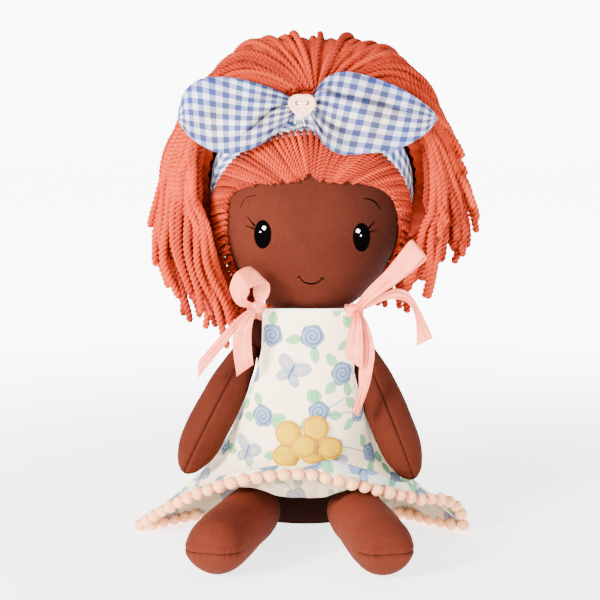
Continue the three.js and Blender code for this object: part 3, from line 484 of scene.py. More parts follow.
def gingham(name):
    """Woven check, half a repeat coloured each way; the white threads of each band show as a fine twill."""
    n = Nodes(name)
    place = n.cloth()
    parts = n.add("ShaderNodeSeparateXYZ", {0: place}).outputs
    bands = []
    for i in range(2):
        step = n.math("FRACT", n.math("MULTIPLY", parts[i], 1 / (CHECK_REPEAT * MM)))
        away = n.math("ABSOLUTE", n.math("SUBTRACT", step, 0.5))
        bands.append(n.between(away, 0.225, 0.275))
    threads = weave(n, place, GINGHAM_PITCH)
    both = n.math("MULTIPLY_ADD", threads, 0.08, n.math("MULTIPLY", n.math("ADD", *bands), 0.5))
    blue, worn = (n.ramp(both, list(zip(CHECK_STEPS, colors))) for colors in (CHECK_BLUE, CHECK_WORN))
    patches = n.noise(n.object(), 34.0)
    color = n.mix(n.between(patches, 0.42, 0.6), blue, worn)
    normal = n.bump(threads, 0.05, 0.5, n.bump(patches, 0.9, 0.3))
    return n.finish(n.mix(1.0, color, n.tone(), "MULTIPLY"), normal, 0.88, 0.05, Specular_IOR_Level=0.1)


def printed(name, pale=False):
    """The dress cloth: the print is painted into the mesh, and the weave and soft creases lie over it."""
    n = Nodes(name)
    threads = weave(n, n.cloth(), PRINT_PITCH)
    patches = n.noise(n.object(), 45.0, 4.0)
    color = n.tone()
    # The wrong side is mixed towards dark brown: a duller print, and painted shade, as it lies inside the dress
    # and under the hem.
    if pale:
        color = n.mix(0.62, color, (0.2, 0.125, 0.085, 1))
    worn = n.math("MULTIPLY_ADD", threads, 0.03, n.math("MULTIPLY", patches, 0.14))
    color = n.mix(worn, color, srgb("CFBBAA"), "MULTIPLY")
    normal = n.bump(threads, 0.05, 0.5, n.bump(patches, 0.8, 0.35))
    return n.finish(color, normal, 0.9, 0.03, Specular_IOR_Level=0.08)


def yarn(name, light, dark, bright):
    n = Nodes(name)
    place = n.object()
    fibres = n.noise(n.scaled(place, 1.0, 1.0, 0.5), 1500.0, 3.0, 0.7)
    shade = n.math("MULTIPLY_ADD", fibres, 0.4, n.math("MULTIPLY", n.noise(place, 70.0), 0.3))
    shade = n.math("MULTIPLY_ADD", n.tone(), 0.5, shade)
    color = n.ramp(shade, [(0.22, dark), (0.6, light), (0.95, bright)])
    return n.finish(color, n.bump(fibres, 0.35, 0.6), 0.92, 0.06, (0.8, 0.2, 0.1, 1), Specular_IOR_Level=0.06)


def satin(name, light, dark):
    n = Nodes(name)
    streaks = n.noise(n.scaled(n.cloth(), 1.0, 0.05), 5200.0, 2.0)
    shade = n.math("MULTIPLY_ADD", streaks, 0.35, n.math("MULTIPLY", n.noise(n.object(), 90.0), 0.6))
    color = n.ramp(shade, [(0.34, dark), (0.68, light)])
    normal = n.bump(streaks, 0.03, 0.5)
    return n.finish(color, normal, 0.34, 0.12, srgb("E9D3F0"), Anisotropic=0.5, Specular_IOR_Level=0.3)


def felt(name, light, dark):
    n = Nodes(name)
    place = n.object()
    fibres = n.noise(place, 1700.0, 4.0, 0.75)
    shade = n.math("MULTIPLY_ADD", fibres, 0.55, n.math("MULTIPLY", n.noise(place, 160.0, 3.0), 0.45))
    color = n.ramp(shade, [(0.3, dark), (0.65, light)])
    return n.finish(color, n.bump(fibres, 0.3, 0.5), 0.95, 0.05, light, Specular_IOR_Level=0.06)


def wood(name):
    n = Nodes(name)
    grain = n.noise(n.scaled(n.object(), 1.0, 1.0, 0.08), 900.0, 4.0)
    color = n.ramp(grain, [(0.3, (0.66, 0.34, 0.2, 1)), (0.7, (0.86, 0.5, 0.32, 1))])
    coat = dict(Coat_Weight=0.1, Coat_Roughness=0.3)
    return n.finish(color, n.bump(grain, 0.05, 0.4), 0.5, **coat, Specular_IOR_Level=0.2)


def ink(name, color, roughness):
    n = Nodes(name)
    grain = n.noise(n.object(), 2600.0)
    lighter = tuple(min(1, 1.6 * c) for c in color)
    color = n.mix(n.math("MULTIPLY", grain, 0.25), color, lighter)
    return n.finish(color, n.bump(grain, 0.03, 0.3), roughness, Specular_IOR_Level=0.0)


SKIN = cotton("brown_cotton", (0.105, 0.0188, 0.0088, 1), (0.067, 0.0118, 0.0054, 1))
GINGHAM = gingham("gingham")
PRINT = printed("floral_print")
PRINT_BACK = printed("floral_wrong_side", pale=True)
YARN = yarn("coral_yarn", (0.37, 0.029, 0.0075, 1), (0.13, 0.0085, 0.0045, 1), (0.52, 0.056, 0.02, 1))
SATIN = satin("satin_ribbon", (0.95, 0.26, 0.15, 1), (0.66, 0.11, 0.055, 1))
POMS = felt("pom_pom", (0.98, 0.5, 0.26, 1), (0.85, 0.33, 0.14, 1))
FELT = felt("yellow_felt", (0.66, 0.4, 0.0, 1), (0.52, 0.3, 0.0, 1))
STITCH = felt("orange_stitch", (0.6, 0.16, 0.0, 1), (0.45, 0.1, 0.0, 1))
WHITE_THREAD = felt("white_thread", srgb("F7F2EA"), srgb("DDD3C6"))
WOOD = wood("button_wood")
BLACK = ink("black_ink", (0.0008, 0.0006, 0.0006, 1), 0.6)
WHITE = ink("white_ink", (0.9, 0.9, 0.92, 1), 0.4)


# ---------------------------------------------------------------- stuffed body


# Distance in mm between stitches along a seam and between the puckers beside it.
STITCH_PITCH, PUCKER_PITCH = 1.9, 4.1


def stuffed(name, table, size, place, body, nodes, rows=64, around=72, seed=1.0, sides=1.0):
    """A stuffed tube of two panels: a sunken stitched seam runs down both sides and round the end,
    with small puckers along it."""
    along, wide, front, back = hermite(table, np.linspace(0, len(table) - 1, rows)).T[..., None]
    angle = full_turn(around)
    angle = angle - 0.42 * np.sin(2 * angle)
    half = wide * size["half"]
    depth = np.where(np.sin(angle) >= 0, front * size["front"], back * size["back"])
    down = np.maximum(-along * size["length"], -size["length"])
    grid = points_of(half * np.cos(angle), -depth * np.sin(angle), down)
    to_seam = np.abs(grid[..., 1])
    run = lengths(grid, 0) + np.maximum(0, half - np.abs(grid[..., 0])) * (along > 0.9)
    shown = sides + (1 - sides) * smoothstep(0.88, 0.97, along)
    seam = -0.5 * np.exp(-(to_seam / 0.6) ** 2) + 0.3 * np.exp(-((to_seam - 2.2) / 1.4) ** 2)
    seam += 0.26 * np.sin(run * math.tau / PUCKER_PITCH + 2 * np.sin(run / 9)) * np.exp(-(to_seam / 3.2) ** 2)
    lift = 0.4 * wobble(grid, 15, seed) * np.clip(np.minimum(along, 1 - along) * 14 + 0.15, 0, 1)
    lift += seam * shown * np.clip(along * 14 + 0.15, 0, 1)
    grid = grid - normals_of(grid, True) * lift[..., None]
    pull = 0.6 + 0.4 * np.sin(run * math.tau / STITCH_PITCH)
    tone = 1 - (0.3 + 0.5 * pull) * np.exp(-(to_seam / 0.4) ** 2) * (along > 0.02) * shown
    # The cloth is darker where the photo shows it in the dress's or the hair's shade.
    if body == "torso":
        tone *= 0.12 + 0.88 * smoothstep(0.5, 0.85, 1 - along)
    elif "leg" in body:
        tone *= (0.3 + 0.85 * smoothstep(0.1, 0.36, along)) * (1 - 0.22 * smoothstep(0.6, 1, along))
    else:
        tone *= 0.56 + 0.16 * smoothstep(0.2, 0.9, along)
    obj = make(name, place(grid), tube(rows, around, caps=1), SKIN, tone=tone)
    dress_up(obj, body, nodes)


def build_body():
    panels = [f"torso_{part}" for part in ("front_panel", "back_panel", "filling")]
    on_seat = [0, TORSO_Y, TORSO["length"]]
    stuffed("torso_body", TORSO_SHARES, TORSO, lambda p: p + on_seat, "torso", panels, around=64)
    # The neck: half a ball below, a short collar above it.
    rows = [(9 * math.sin(a), -9 * math.cos(a)) for a in np.linspace(0.05, math.pi / 2, 10)]
    size, up = np.array(rows + [(8.9, 1.0), (8.6, 1.7)]).T[..., None]
    angle = full_turn(40)
    grid = points_of(size * (1 + 0.02 * np.cos(11 * angle)) * np.cos(angle), size * np.sin(angle), up)
    obj = make("neck_body", grid + NECK, quads(len(grid), len(angle), True), SKIN)
    dress_up(obj, "neck", ["neck"])
    for side, own in SIDES.items():
        sign = own["sign"]
        arm, leg = f"{side}_arm", f"{side}_leg"
        panels = [f"{arm}_{part}" for part in ("outer_panel", "inner_panel", "filling")]
        stuffed(f"{arm}_body", ARM_SHARES, ARM, lambda p: in_arm(side, p), arm, panels, seed=3 + sign)
        panels = [f"{leg}_{part}" for part in ("top_panel", "under_panel", "filling")]
        stuffed(f"{leg}_body", LEG_SHARES, LEG, lambda p: in_leg(side, p), leg, panels, rows=80, seed=8 + sign,
                sides=0.15)
        # The arm's tab is taller and wider, to fill the place between arm and dress; its cloth is painted dark
        # (tone 0.22) as painted shade there.
        centre = shoulder(sign) - [sign * 2.16, 0, 0]
        tab_piece(f"{arm}_tab", centre, tall=12.0, low=7.0, wide=1.6, tone=0.22)
        tab_piece(f"{leg}_tab", hip(sign), tall=TAB_RADIUS, low=0.0, wide=1.0, tone=1.0)


def tab_piece(body, centre, tall, low, wide, tone):
    """A short strip of cotton gathered round: pleats run from end to end."""
    rows, around = 14, 44
    polar, angle = np.linspace(0.08, math.pi - 0.08, rows)[:, None], full_turn(around)
    size = (TAB_RADIUS + 0.12 * np.cos(9 * angle)) * np.sin(polar)
    up = tall - TAB_RADIUS - low + tall * np.cos(polar)
    grid = points_of(wide * size * np.cos(angle), size * np.sin(angle), up)
    obj = make(f"{body}_gathers", grid + centre, tube(rows, around), SKIN, tone=np.full(rows * around, tone))
    dress_up(obj, body, [body])


# ---------------------------------------------------------------- head and face


def on_egg(halves, around, depth):
    """A point on an egg: around is the angle about Y from the top, depth the angle from the face's middle."""
    x, y, z = halves
    up = z * np.sin(depth) * np.cos(around)
    side = x * (1 + EGG * up / z) * np.sin(depth) * np.sin(around)
    return points_of(side, -y * np.cos(depth), up)


def band_depth(halves, around, offset):
    """Depth at which the headband's leaning plane, moved by the offset, cuts an egg."""
    up = halves[2] * np.cos(around) * math.sin(BAND_LEAN)
    forward = halves[1] * math.cos(BAND_LEAN)
    return np.arctan2(forward, up) + np.arcsin(offset / np.hypot(forward, up))


def build_head():
    rows, around = 72, full_turn(96)
    grid = on_egg(HEAD, around, np.linspace(0.02, math.pi - 0.02, rows)[:, None])
    to_seam = np.abs(grid[..., 1])
    lift = -0.6 * np.exp(-(to_seam / 0.8) ** 2) + 0.35 * wobble(grid, 26, 4.0)
    lift += 0.22 * np.sin(around * 60 * math.tau / 5.1) * np.exp(-(to_seam / 4) ** 2)
    grid = grid + unit(grid / HEAD ** 2) * lift[..., None]
    x, _y, z = np.moveaxis(grid, -1, 0)
    # The hair shades the brow and the right side; the left cheek catches the light.
    tone = 0.53 * (1 - 0.48 * smoothstep(-10, 42, z)) * (1 - 0.52 * smoothstep(0, 50, x))
    tone *= 1 + 0.22 * smoothstep(8, 48, -x)
    obj = make("head_body", in_head(grid), tube(rows, len(around)), SKIN, tone=tone)
    dress_up(obj, "head", ["face_panel", "head_back_panel", "head_filling"])


def face_at(u, v, lift):
    """The point of the face that the camera sees at a pixel, lifted off the cloth by a length."""
    y = -34.0
    for _ in range(12):
        x, _y, z = from_head(at(u, v, y))
        share_z = z / HEAD[2]
        share_x = x / (HEAD[0] * (1 + EGG * share_z))
        local = np.array([x, -HEAD[1] * math.sqrt(max(0.01, 1 - share_x ** 2 - share_z ** 2)), z])
        y = in_head(local)[1]
    return in_head(local + unit(local / HEAD ** 2) * lift)


def face_spot(name, centre, half, height, material):
    """A low round-edged oval on the face, its size in pixels and its height in millimetres."""
    rings, around = 10, 48
    points = [face_at(*centre, 0.15 + height)]
    for share in np.arange(1, rings + 1) / rings:
        lift = 0.12 + height * math.sqrt(1 - share ** 3)
        for a in full_turn(around):
            u, v = centre[0] + half[0] * share * math.cos(a), centre[1] + half[1] * share * math.sin(a)
            points.append(face_at(u, v, lift))
    faces = [f[:, ::-1] for f in disc(rings, around)]
    dress_up(make(name, points, faces, material), "head")


def face_line(name, pixels, widths):
    """A thin printed line on the face; widths are the full widths in pixels at the given places."""
    steps, section = 30, ((-0.5, 0.08), (-0.25, 0.18), (0, 0.22), (0.25, 0.18), (0.5, 0.08))
    path = smooth_path(pixels, steps)
    width = np.interp(np.linspace(0, 1, steps), np.linspace(0, 1, len(widths)), widths)
    ahead = unit(np.gradient(path, axis=0))
    side = np.stack([-ahead[:, 1], ahead[:, 0]], 1) * width[:, None]
    points = [face_at(*(p + s * share), lift) for p, s in zip(path, side) for share, lift in section]
    dress_up(make(name, points, quads(steps, len(section)), BLACK), "head")


def build_face():
    for name, centre, half, height, material in (
        ("eye_left", (262.7, 234.3), (8.6, 14.3), 0.5, BLACK),
        ("eye_right", (361.5, 237.2), (8.6, 14.3), 0.5, BLACK),
        ("eye_glint_left", (264.4, 227.8), (2.3, 2.4), 0.75, WHITE),
        ("eye_glint_right", (357.9, 230.7), (2.3, 2.4), 0.75, WHITE),
        ("eye_spark_left", (260.8, 231.6), (1.0, 1.0), 0.75, WHITE),
        ("eye_spark_right", (360.6, 235.2), (1.0, 1.0), 0.75, WHITE),
    ):
        face_spot(name, centre, half, height, material)
    for name, pixels, widths in (
        ("lash_left_upper", [(255, 226), (251.5, 222), (247.5, 216.8)], (1.9, 0.7)),
        ("lash_left_lower", [(254.4, 229), (250.5, 227.2), (245.8, 225.9)], (1.7, 0.6)),
        ("lash_right_upper", [(368, 229), (371, 225.4), (374.8, 221.6)], (1.9, 0.7)),
        ("lash_right_lower", [(369.6, 232.4), (373, 230.9), (377, 229.8)], (1.7, 0.6)),
        ("brow_left", [(240.6, 207.5), (243.5, 201), (249, 196.6), (256.2, 195.6)], (0.7, 1.6, 0.9)),
        ("brow_right", [(363.6, 198.6), (370, 199.4), (376, 203), (380.4, 209.4)], (0.9, 1.6, 0.7)),
        ("smile", [(298.9, 276.6), (303.4, 281.6), (310.6, 283.8), (317.6, 282.2), (322.4, 278.2)],
         (1.0, 1.7, 1.0)),
        ("smile_end_left", [(297.2, 278.2), (298.7, 276.6), (300.6, 275.8)], (0.8, 1.1, 0.8)),
        ("smile_end_right", [(320.6, 277.2), (322.5, 277.9), (323.9, 279.6)], (0.8, 1.1, 0.8)),
    ):
        face_line(name, pixels, widths)


# ---------------------------------------------------------------- yarn


def on_path(t, run, path):
    """Points of a path at lengths t, where run is the length walked to each of its points."""
    return np.stack([np.interp(t, run, path[:, k]) for k in range(3)], -1)


def resample(path, step):
    """The path in even steps, and the length walked to each of its new points."""
    run = lengths(path, 0)
    t = np.linspace(0, run[-1], max(6, int(round(run[-1] / step)) + 1))
    return on_path(t, run, path), t


def smooth_path(points, count):
    return hermite(points, np.linspace(0, len(points) - 1, count))


def frames_along(path):
    """Two directions across the path at each point, which don't twist round it."""
    ahead = unit(np.gradient(path, axis=0))
    side = np.cross(ahead[0], [0.3, 0.5, 0.81])
    sides = []
    for a in ahead:
        side = unit(side - a * side.dot(a))
        sides.append(side)
    return np.array(sides), np.cross(ahead, sides)


def yarn_piece(name, strands, material, body, nodes=(), around=15, step=1.1, pitch=8.5, plies=3):
    """Many twisted strands in one mesh. Each strand: (path, radius, share of radius at its start, tone)."""
    all_points, walls, caps, tones = [], [], [], []
    first = 0
    phase = full_turn(around)
    lobes = np.abs(np.cos(plies / 2 * phase))
    for path, radius, start_share, tone in strands:
        path, run = resample(path, step)
        rows, total = len(path), run[-1]
        side, up = frames_along(path)
        grow = start_share + (1 - start_share) * np.clip(run / (0.35 * total), 0, 1)
        tip = np.clip((total - run) / (0.9 * radius), 0, 1)
        taper = grow * (0.55 + 0.45 * np.sqrt(1 - (1 - tip) ** 2))
        size = (radius * (0.68 + 0.32 * lobes) * taper[:, None])[..., None]
        a = (phase + (run * math.tau / pitch + tone * 20)[:, None])[..., None]
        ring = path[:, None] + side[:, None] * size * np.cos(a) + up[:, None] * size * np.sin(a)
        all_points.append(ring.reshape(-1, 3))
        wall, *ends = tube(rows, around, first=first)
        walls.append(wall)
        caps += ends
        # Each strand is darker in the grooves between its plies: painted shade.
        tones.append(np.tile(tone - 0.85 * (1 - lobes) ** 2, rows))
        first += rows * around
    faces = [np.concatenate(walls), np.concatenate(caps)]
    obj = make(name, np.concatenate(all_points), faces, material, tone=np.concatenate(tones))
    dress_up(obj, body, nodes)


def thread(name, paths, radius, body, material=WHITE_THREAD, around=8, step=1.1):
    """Plain round threads along the paths."""
    strands = [(path, radius, 1.0, 0.5) for path in paths]
    yarn_piece(name, strands, material, body, around=around, step=step, plies=0)


# Half sizes of the hair, and its depth in front of the head's middle.
HAIR = np.array([84.4, 55.5, 91.0])
HAIR_FRONT = 43.5
# The locks are spread evenly, so many degrees to each side of straight behind.
LOCK_COUNT = 16
LOCK_ROUND = 121.0
# The crown and the fringe run from here on the left over the top to here on the right, in degrees.
HAIR_FROM, HAIR_TO = -138, 124
# World heights where the hair ends, evenly spaced from the left front round the back to the right front.
HAIR_ENDS = [128, 119, 121, 117, 112, 108, 109, 118, 122, 120, 122, 140, 148, 152, 150, 150]
# Loose strands: degrees from straight behind, latitude at which each leaves the others, length that
# hangs, share by which it stands out.
LOOSE = [
    (101, 24, 13, 0.13), (90, 17, 12, 0.12), (87, 12, 16, 0.14), (104, 12, 20, 0.15), (79, 10, 20, 0.13),
    (95, 8, 24, 0.14), (111, 2, 24, 0.08), (70, 4, 28, 0.1), (84, 4, 26, 0.12), (116, -6, 44, -0.08),
    (-88, -4, 36, 0.04), (-100, -5, 32, 0.05), (-78, -3, 38, 0.05), (-93, 6, 30, 0.03), (-124, -2, 62, -0.06),
    (-127, -4, 74, -0.1), (-130, -2, 70, -0.15), (-128, 0, 58, -0.19), (-131, -3, 66, -0.22),
    (-126, -5, 78, -0.17), (126, -2, 50, -0.1), (129, -3, 44, -0.16), (-120, -4, 66, -0.26),
    (-114, -6, 60, -0.27), (-108, -4, 62, -0.26), (-102, -6, 58, -0.25), (-117, -2, 54, -0.22),
    (120, -4, 40, -0.24), (113, -6, 36, -0.25), (106, -4, 38, -0.24), (-13, -3, 76, 0), (-18, -3, 74, -0.02),
    (-23, -4, 76, 0.02), (-20.5, -3, 76, 0), (-58, -4, 66, -0.27), (-55, -4, 62, -0.3), (-62, -3, 68, -0.29),
]


def hair_halves(direction):
    """Half sizes of the hair on the side that a direction points to."""
    return np.array([HAIR[0], HAIR[1] if direction[1] > 0 else HAIR_FRONT, HAIR[2]])


def hair_swell(x, z):
    """Height added to the two swells at the top of the hair."""
    return smoothstep(35, 70, z) * (4.5 * np.exp(-((x - 42) / 19) ** 2) + 3.6 * np.exp(-((x + 36) / 15) ** 2))


def lock_at(turn_deg):
    """Number of the lock that lies in a direction, as a fraction."""
    return (turn_deg + LOCK_ROUND) / (2 * LOCK_ROUND) * (LOCK_COUNT - 1)


def hair_path(turn_deg, layer, rng, loose, leave_at=None, hang=None, end=None):
    """One strand: from under the bow over the crown, then hanging to its end."""
    scale = 1 - 0.05 * layer + rng.uniform(-0.02, 0.009)
    t_deg = turn_deg + rng.uniform(-1.8, 1.8)
    sign, size = math.copysign(1, t_deg), abs(t_deg)
    # The strands start closer together than they end, and from there arch over to the side.
    parting = math.radians(sign * (size / 5 if size < 60 else 12 + (size - 60) / 61 * 41))
    under = HEAD + 6.5
    start = on_egg(under, parting, band_depth(under, parting, CROWN_SET_BACK + 3.5 + 2 * layer))
    p0 = start / hair_halves(start)
    r0 = np.linalg.norm(p0)
    p0 = p0 / r0
    theta = math.radians(t_deg)
    low = math.radians(rng.uniform(-3, 6) if leave_at is None else leave_at)
    p1 = np.array([math.sin(theta) * math.cos(low), math.cos(theta) * math.cos(low), math.sin(low)])
    omega = math.acos(np.clip(p0.dot(p1), -1, 1))
    side = unit(np.cross(p0, p1))
    seed = rng.uniform(0, 50)
    points = []
    for t in np.linspace(0, 1, 16):
        direction = (math.sin((1 - t) * omega) * p0 + math.sin(t * omega) * p1) / math.sin(omega)
        rise = r0 + (scale - r0) * math.sin(min(1, t / 0.28) * math.pi / 2) ** 0.75
        wander = 4.2 * noise.noise(Vector((t * 3.1, seed, 0.5))) * min(1, 4 * t)
        puff = 1 + 0.022 * noise.noise(Vector((t * 2.3, seed, 7.5)))
        point = direction * hair_halves(direction) * rise * puff + side * wander
        point[2] += hair_swell(point[0], point[2]) * min(1, 3 * t)
        points.append(point)
    # From the widest place each hangs down to its end, by clumps and with its own sway.
    x, y, z = points[-1]
    if hang is None:
        if end is None:
            end = np.interp(lock_at(turn_deg), range(LOCK_COUNT), HAIR_ENDS)
        end += rng.uniform(-5, 9)
        hang = max(8.0, z - from_head([0, 0, end])[2])
    clump = np.random.default_rng(int((turn_deg + 130) / 12)).uniform(-1, 1, 2)
    sway = clump * 3.4 + rng.uniform(-1, 1, 2) * 2.4
    for down in np.linspace(0.1, 1, 10) * hang:
        out = 1 + 0.032 * math.sin(math.pi * min(1, down / 52)) + loose * (1 - math.exp(-down / 14))
        out -= (0.2 if sign < 0 else 0.1) * smoothstep(26, 84, down) * abs(math.sin(theta))
        curl = 1.4 * math.sin(down / 9 + seed) * min(1, down / 30)
        bend = sway * (down / 50) ** 2 + [0.6 * curl, curl]
        points.append([x * out + bend[0], y * out + bend[1], z - down])
    return in_head(smooth_path(points, 70))


def build_hair():
    """Three layers of strands and the loose ones, sorted into locks, over the crown."""
    rng = np.random.default_rng(21)
    locks = [[] for _ in range(LOCK_COUNT)]

    def add(turn_deg, path, radius, tone):
        locks[int(np.clip(round(lock_at(turn_deg)), 0, LOCK_COUNT - 1))].append((path, radius, 0.62, tone))

    for layer, count in ((0, 52), (1, 53), (2, 48)):
        for k in range(count):
            turn_deg = LOCK_ROUND * (2 * (k + 0.5 * (layer % 2)) / (count - 1) - 1)
            turn_deg = float(np.clip(turn_deg, -LOCK_ROUND, LOCK_ROUND))
            # The front strands stand out by different shares, and the further out, the higher they end.
            loose, end = rng.uniform(-0.02, 0.02), None
            if turn_deg > 58:
                loose = rng.uniform(0, 0.12)
                end = np.interp(loose, [0, 0.05, 0.12], [149, 167, 183])
            elif turn_deg < -62:
                loose = rng.uniform(-0.05, 0.03)
                end = np.interp(loose, [-0.05, 0.03], [117, 143])
            path = hair_path(turn_deg, layer, rng, loose, end=end)
            # Each lower layer is darker: painted shade under the layers above it.
            add(turn_deg, path, rng.uniform(2.15, 2.6), rng.uniform(0.15, 0.85) - 0.22 * layer)
    for turn_deg, leave_at, hang, loose in LOOSE:
        add(turn_deg, hair_path(turn_deg, 0, rng, loose, leave_at, hang), 2.3, rng.uniform(0.4, 0.8))
    for i, strands in enumerate(locks, 1):
        yarn_piece(f"hair_strands_{i:02d}", strands, YARN, "head", [f"hair_lock_{i:02d}"])
    # A ribbed base under the strands, painted dark as the shade beneath them, and darker in the hollows between
    # its ribs.
    rows, around = 50, np.radians(np.linspace(HAIR_FROM, HAIR_TO, 160))
    inner = HEAD + 3.6
    start = band_depth(inner, around, CROWN_SET_BACK + 2)
    share = np.linspace(0, 1, rows)[:, None]
    depth = start + (math.pi - start) * share
    grow = (np.minimum(1, share * 5) ** 0.8)[..., None]
    grid = on_egg(inner, around, depth) * (1 - grow) + on_egg(HAIR * 0.98, around, depth) * grow
    grid[..., 2] += hair_swell(grid[..., 0], grid[..., 2])
    ribs = np.cos(around * 66)
    grid = grid + unit(grid) * (0.8 * ribs)[:, None]
    tone = np.tile(0.1 + 0.15 * ribs, rows)
    obj = make("hair_crown_base", in_head(grid), quads(rows, len(around)), YARN, tone=tone)
    dress_up(thicken(obj, 1.2), "head", ["hair_crown"])


# How far the fringe comes down from the headband's edge: degrees round the face from the top, mm.
FRINGE_DEPTHS = [
    (-138, 9), (-128, 13), (-120, 15), (-104, 13), (-96, 10.5), (-88, 9.5), (-80, 13.5), (-72, 16),
    (-56, 17.5), (-40, 17.5), (-24, 16), (-10, 15.3), (0, 15.8), (24, 16.8), (40, 17.2), (56, 17), (72, 15),
    (80, 12), (88, 9.5), (104, 9.5), (114, 9), (124, 7),
]
# One loop of the fringe, from under the band and back: share of its depth, height off the head.
FRINGE_LOOP = [(-0.2, -0.8), (-0.07, 0.4), (0.09, 2.7), (0.32, 3.8), (0.62, 4.1), (0.86, 3.7), (0.97, 2.8),
               (0.98, 1.6), (0.86, 1.1)]
FRINGE_PITCH = 2.75


def build_fringe():
    rng = np.random.default_rng(5)
    halves = HEAD + 3
    dense = np.radians(np.linspace(HAIR_FROM, HAIR_TO, 500))
    places, depths = np.array(FRINGE_DEPTHS).T
    places = np.radians(places)
    low = BAND_SET_BACK - BAND_WIDTH / 2
    line = on_egg(halves, dense, np.minimum(band_depth(halves, dense, low - 7), math.radians(86)))
    run = lengths(line, 0)
    count = int(run[-1] / FRINGE_PITCH)
    strands = []
    for k in range(count):
        a = np.interp(run[-1] * k / (count - 1), run, dense)
        deep = np.interp(a, places, depths) + rng.uniform(-0.7, 0.7)
        slant = rng.uniform(-0.02, 0.02) - 0.05 * math.sin(a)
        points = []
        for share, lift in FRINGE_LOOP:
            grown = HEAD + lift
            depth = band_depth(grown, a, low + 1.2 - (deep + 0.6) * share)
            points.append(on_egg(grown, a + slant * share, min(depth, math.radians(92 - 6 * share))))
        path = in_head(smooth_path(points, 26))
        strands.append((path, rng.uniform(1.42, 1.66), 0.8, rng.uniform(0.02, 0.66)))
    yarn_piece("fringe_loops", strands, YARN, "head", ["hair_fringe"], around=12, step=0.8, pitch=6.0)
    # A padding behind the loops, so that no cloth shows between them; it is painted dark (tone 0.05) as the shade
    # between the loops.
    rows, around = 10, np.radians(np.linspace(HAIR_FROM + 1, HAIR_TO - 1, 160))
    deep = np.interp(around, places, depths)
    grid = []
    for share in np.linspace(0, 0.92, rows):
        grown = HEAD + 1.0 + 1.3 * math.sin(math.pi * min(1, share + 0.08))
        depth = band_depth(grown, around, low + 1 - deep * share)
        grid.append(on_egg(grown, around, np.minimum(depth, math.radians(91 - 6 * share))))
    faces, tone = quads(rows, len(around))[:, ::-1], np.full(rows * len(around), 0.05)
    obj = make("fringe_backing", in_head(grid), faces, YARN, tone=tone)
    dress_up(thicken(obj, 0.6), "head")


# ---------------------------------------------------------------- headband, bow and button


def build_headband():
    rows, around = 15, full_turn(220)
    grid = []
    for share in np.linspace(0, 1, rows):
        arch = math.sin(share * math.pi)
        lift = 1.6 + 0.9 * arch ** 0.6 + 0.25 * np.sin(around * 46 + share * 2.2) * arch
        offset = BAND_SET_BACK - BAND_WIDTH / 2 + share * (BAND_WIDTH + 2)
        base = on_egg(HEAD, around, band_depth(HEAD + 2.0, around, offset))
        grid.append(base + unit(base / HEAD ** 2) * lift[:, None])
    grid = np.array(grid)
    grid = np.concatenate([grid, grid[:, :1]], 1)
    run, width = lengths(grid, 1), lengths(grid, 0)
    uv = points_of(run, width) * MM
    obj = make("headband_cloth", in_head(grid), quads(rows, len(around) + 1), GINGHAM, uv=uv)
    dress_up(obj, "head", ["headband"])
    thicken(obj, 0.6)
    edge = grid[0] + (grid[0] - grid[1]) * 0.1
    thread("headband_piping", [in_head(edge)], 0.75, "head")


BOW_Y = -35.2
# Pixels of the upper and the lower edge of each lobe, from the middle outwards.
LOBES = {
    "left": ([(293, 98), (272, 88), (250, 81), (225, 77), (200, 79), (184, 92), (177, 114)],
             [(293, 117), (276, 133), (256, 147), (236, 153), (215, 152), (192, 139), (178, 122)]),
    "right": ([(311, 96), (326, 78), (346, 71.5), (375, 78), (402, 89), (424, 103), (437, 115)],
              [(311, 117), (322, 142), (340, 154.5), (368, 153.5), (400, 148), (424, 135), (437.5, 120)]),
}
# Folds of each lobe: places (share of length, share of half height), depth, width, how far the cloth
# above the fold lies back, and where it fades out.
FOLDS = {
    "left": [
        ([(0, 0.4), (0.2, 0), (0.45, -0.6)], 2.6, 0.09, -1.6, 0.55),
        ([(0, 0.75), (0.4, 0.5)], 1.3, 0.08, 0.6, 0.4),
        ([(0, -0.2), (0.3, -0.25)], 1.6, 0.09, 0.5, 0.32),
        ([(0, -0.7), (0.35, -0.85)], 1.2, 0.08, 0, 0.35),
    ],
    "right": [
        ([(0, 0.9), (0.28, 0.46), (0.65, 0.3), (0.8, 0.2)], 2.4, 0.07, 2.2, 0.85),
        ([(0, 0.3), (0.3, 0.12)], 1.6, 0.08, -0.5, 0.42),
        ([(0, -0.1), (0.2, -0.3), (0.4, -0.42)], 2.0, 0.1, 0.6, 0.5),
        ([(0, -0.6), (0.3, -0.8)], 1.4, 0.09, 0, 0.36),
    ],
}


def bow_folds(side, share, h):
    """How deep the folds of a lobe are at a share of its length and of its half height, and how much painted shade
    lies in them.
    """
    near = math.exp(-(share / 0.2) ** 2)
    pleat = math.cos(h * 13 + 1.2 * SIDES[side]["sign"])
    deep = 0.9 * near * (1 + pleat)
    shade = 0.3 * near * max(0.0, pleat) + 0.25 * math.exp(-(share / 0.05) ** 2)
    for places, depth, width, back, fade_at in FOLDS[side]:
        above = h - np.interp(share, *zip(*places)) - 0.03 * math.sin(14 * share)
        fade = 1 - smoothstep(fade_at * 0.55, fade_at, share)
        deep += fade * (1.5 * depth * math.exp(-(above / width) ** 2) + back / (1 + math.exp(-above / 0.05)))
        shade += fade * 0.3 * depth * math.exp(-(above / (0.45 * width)) ** 2)
    return deep, shade


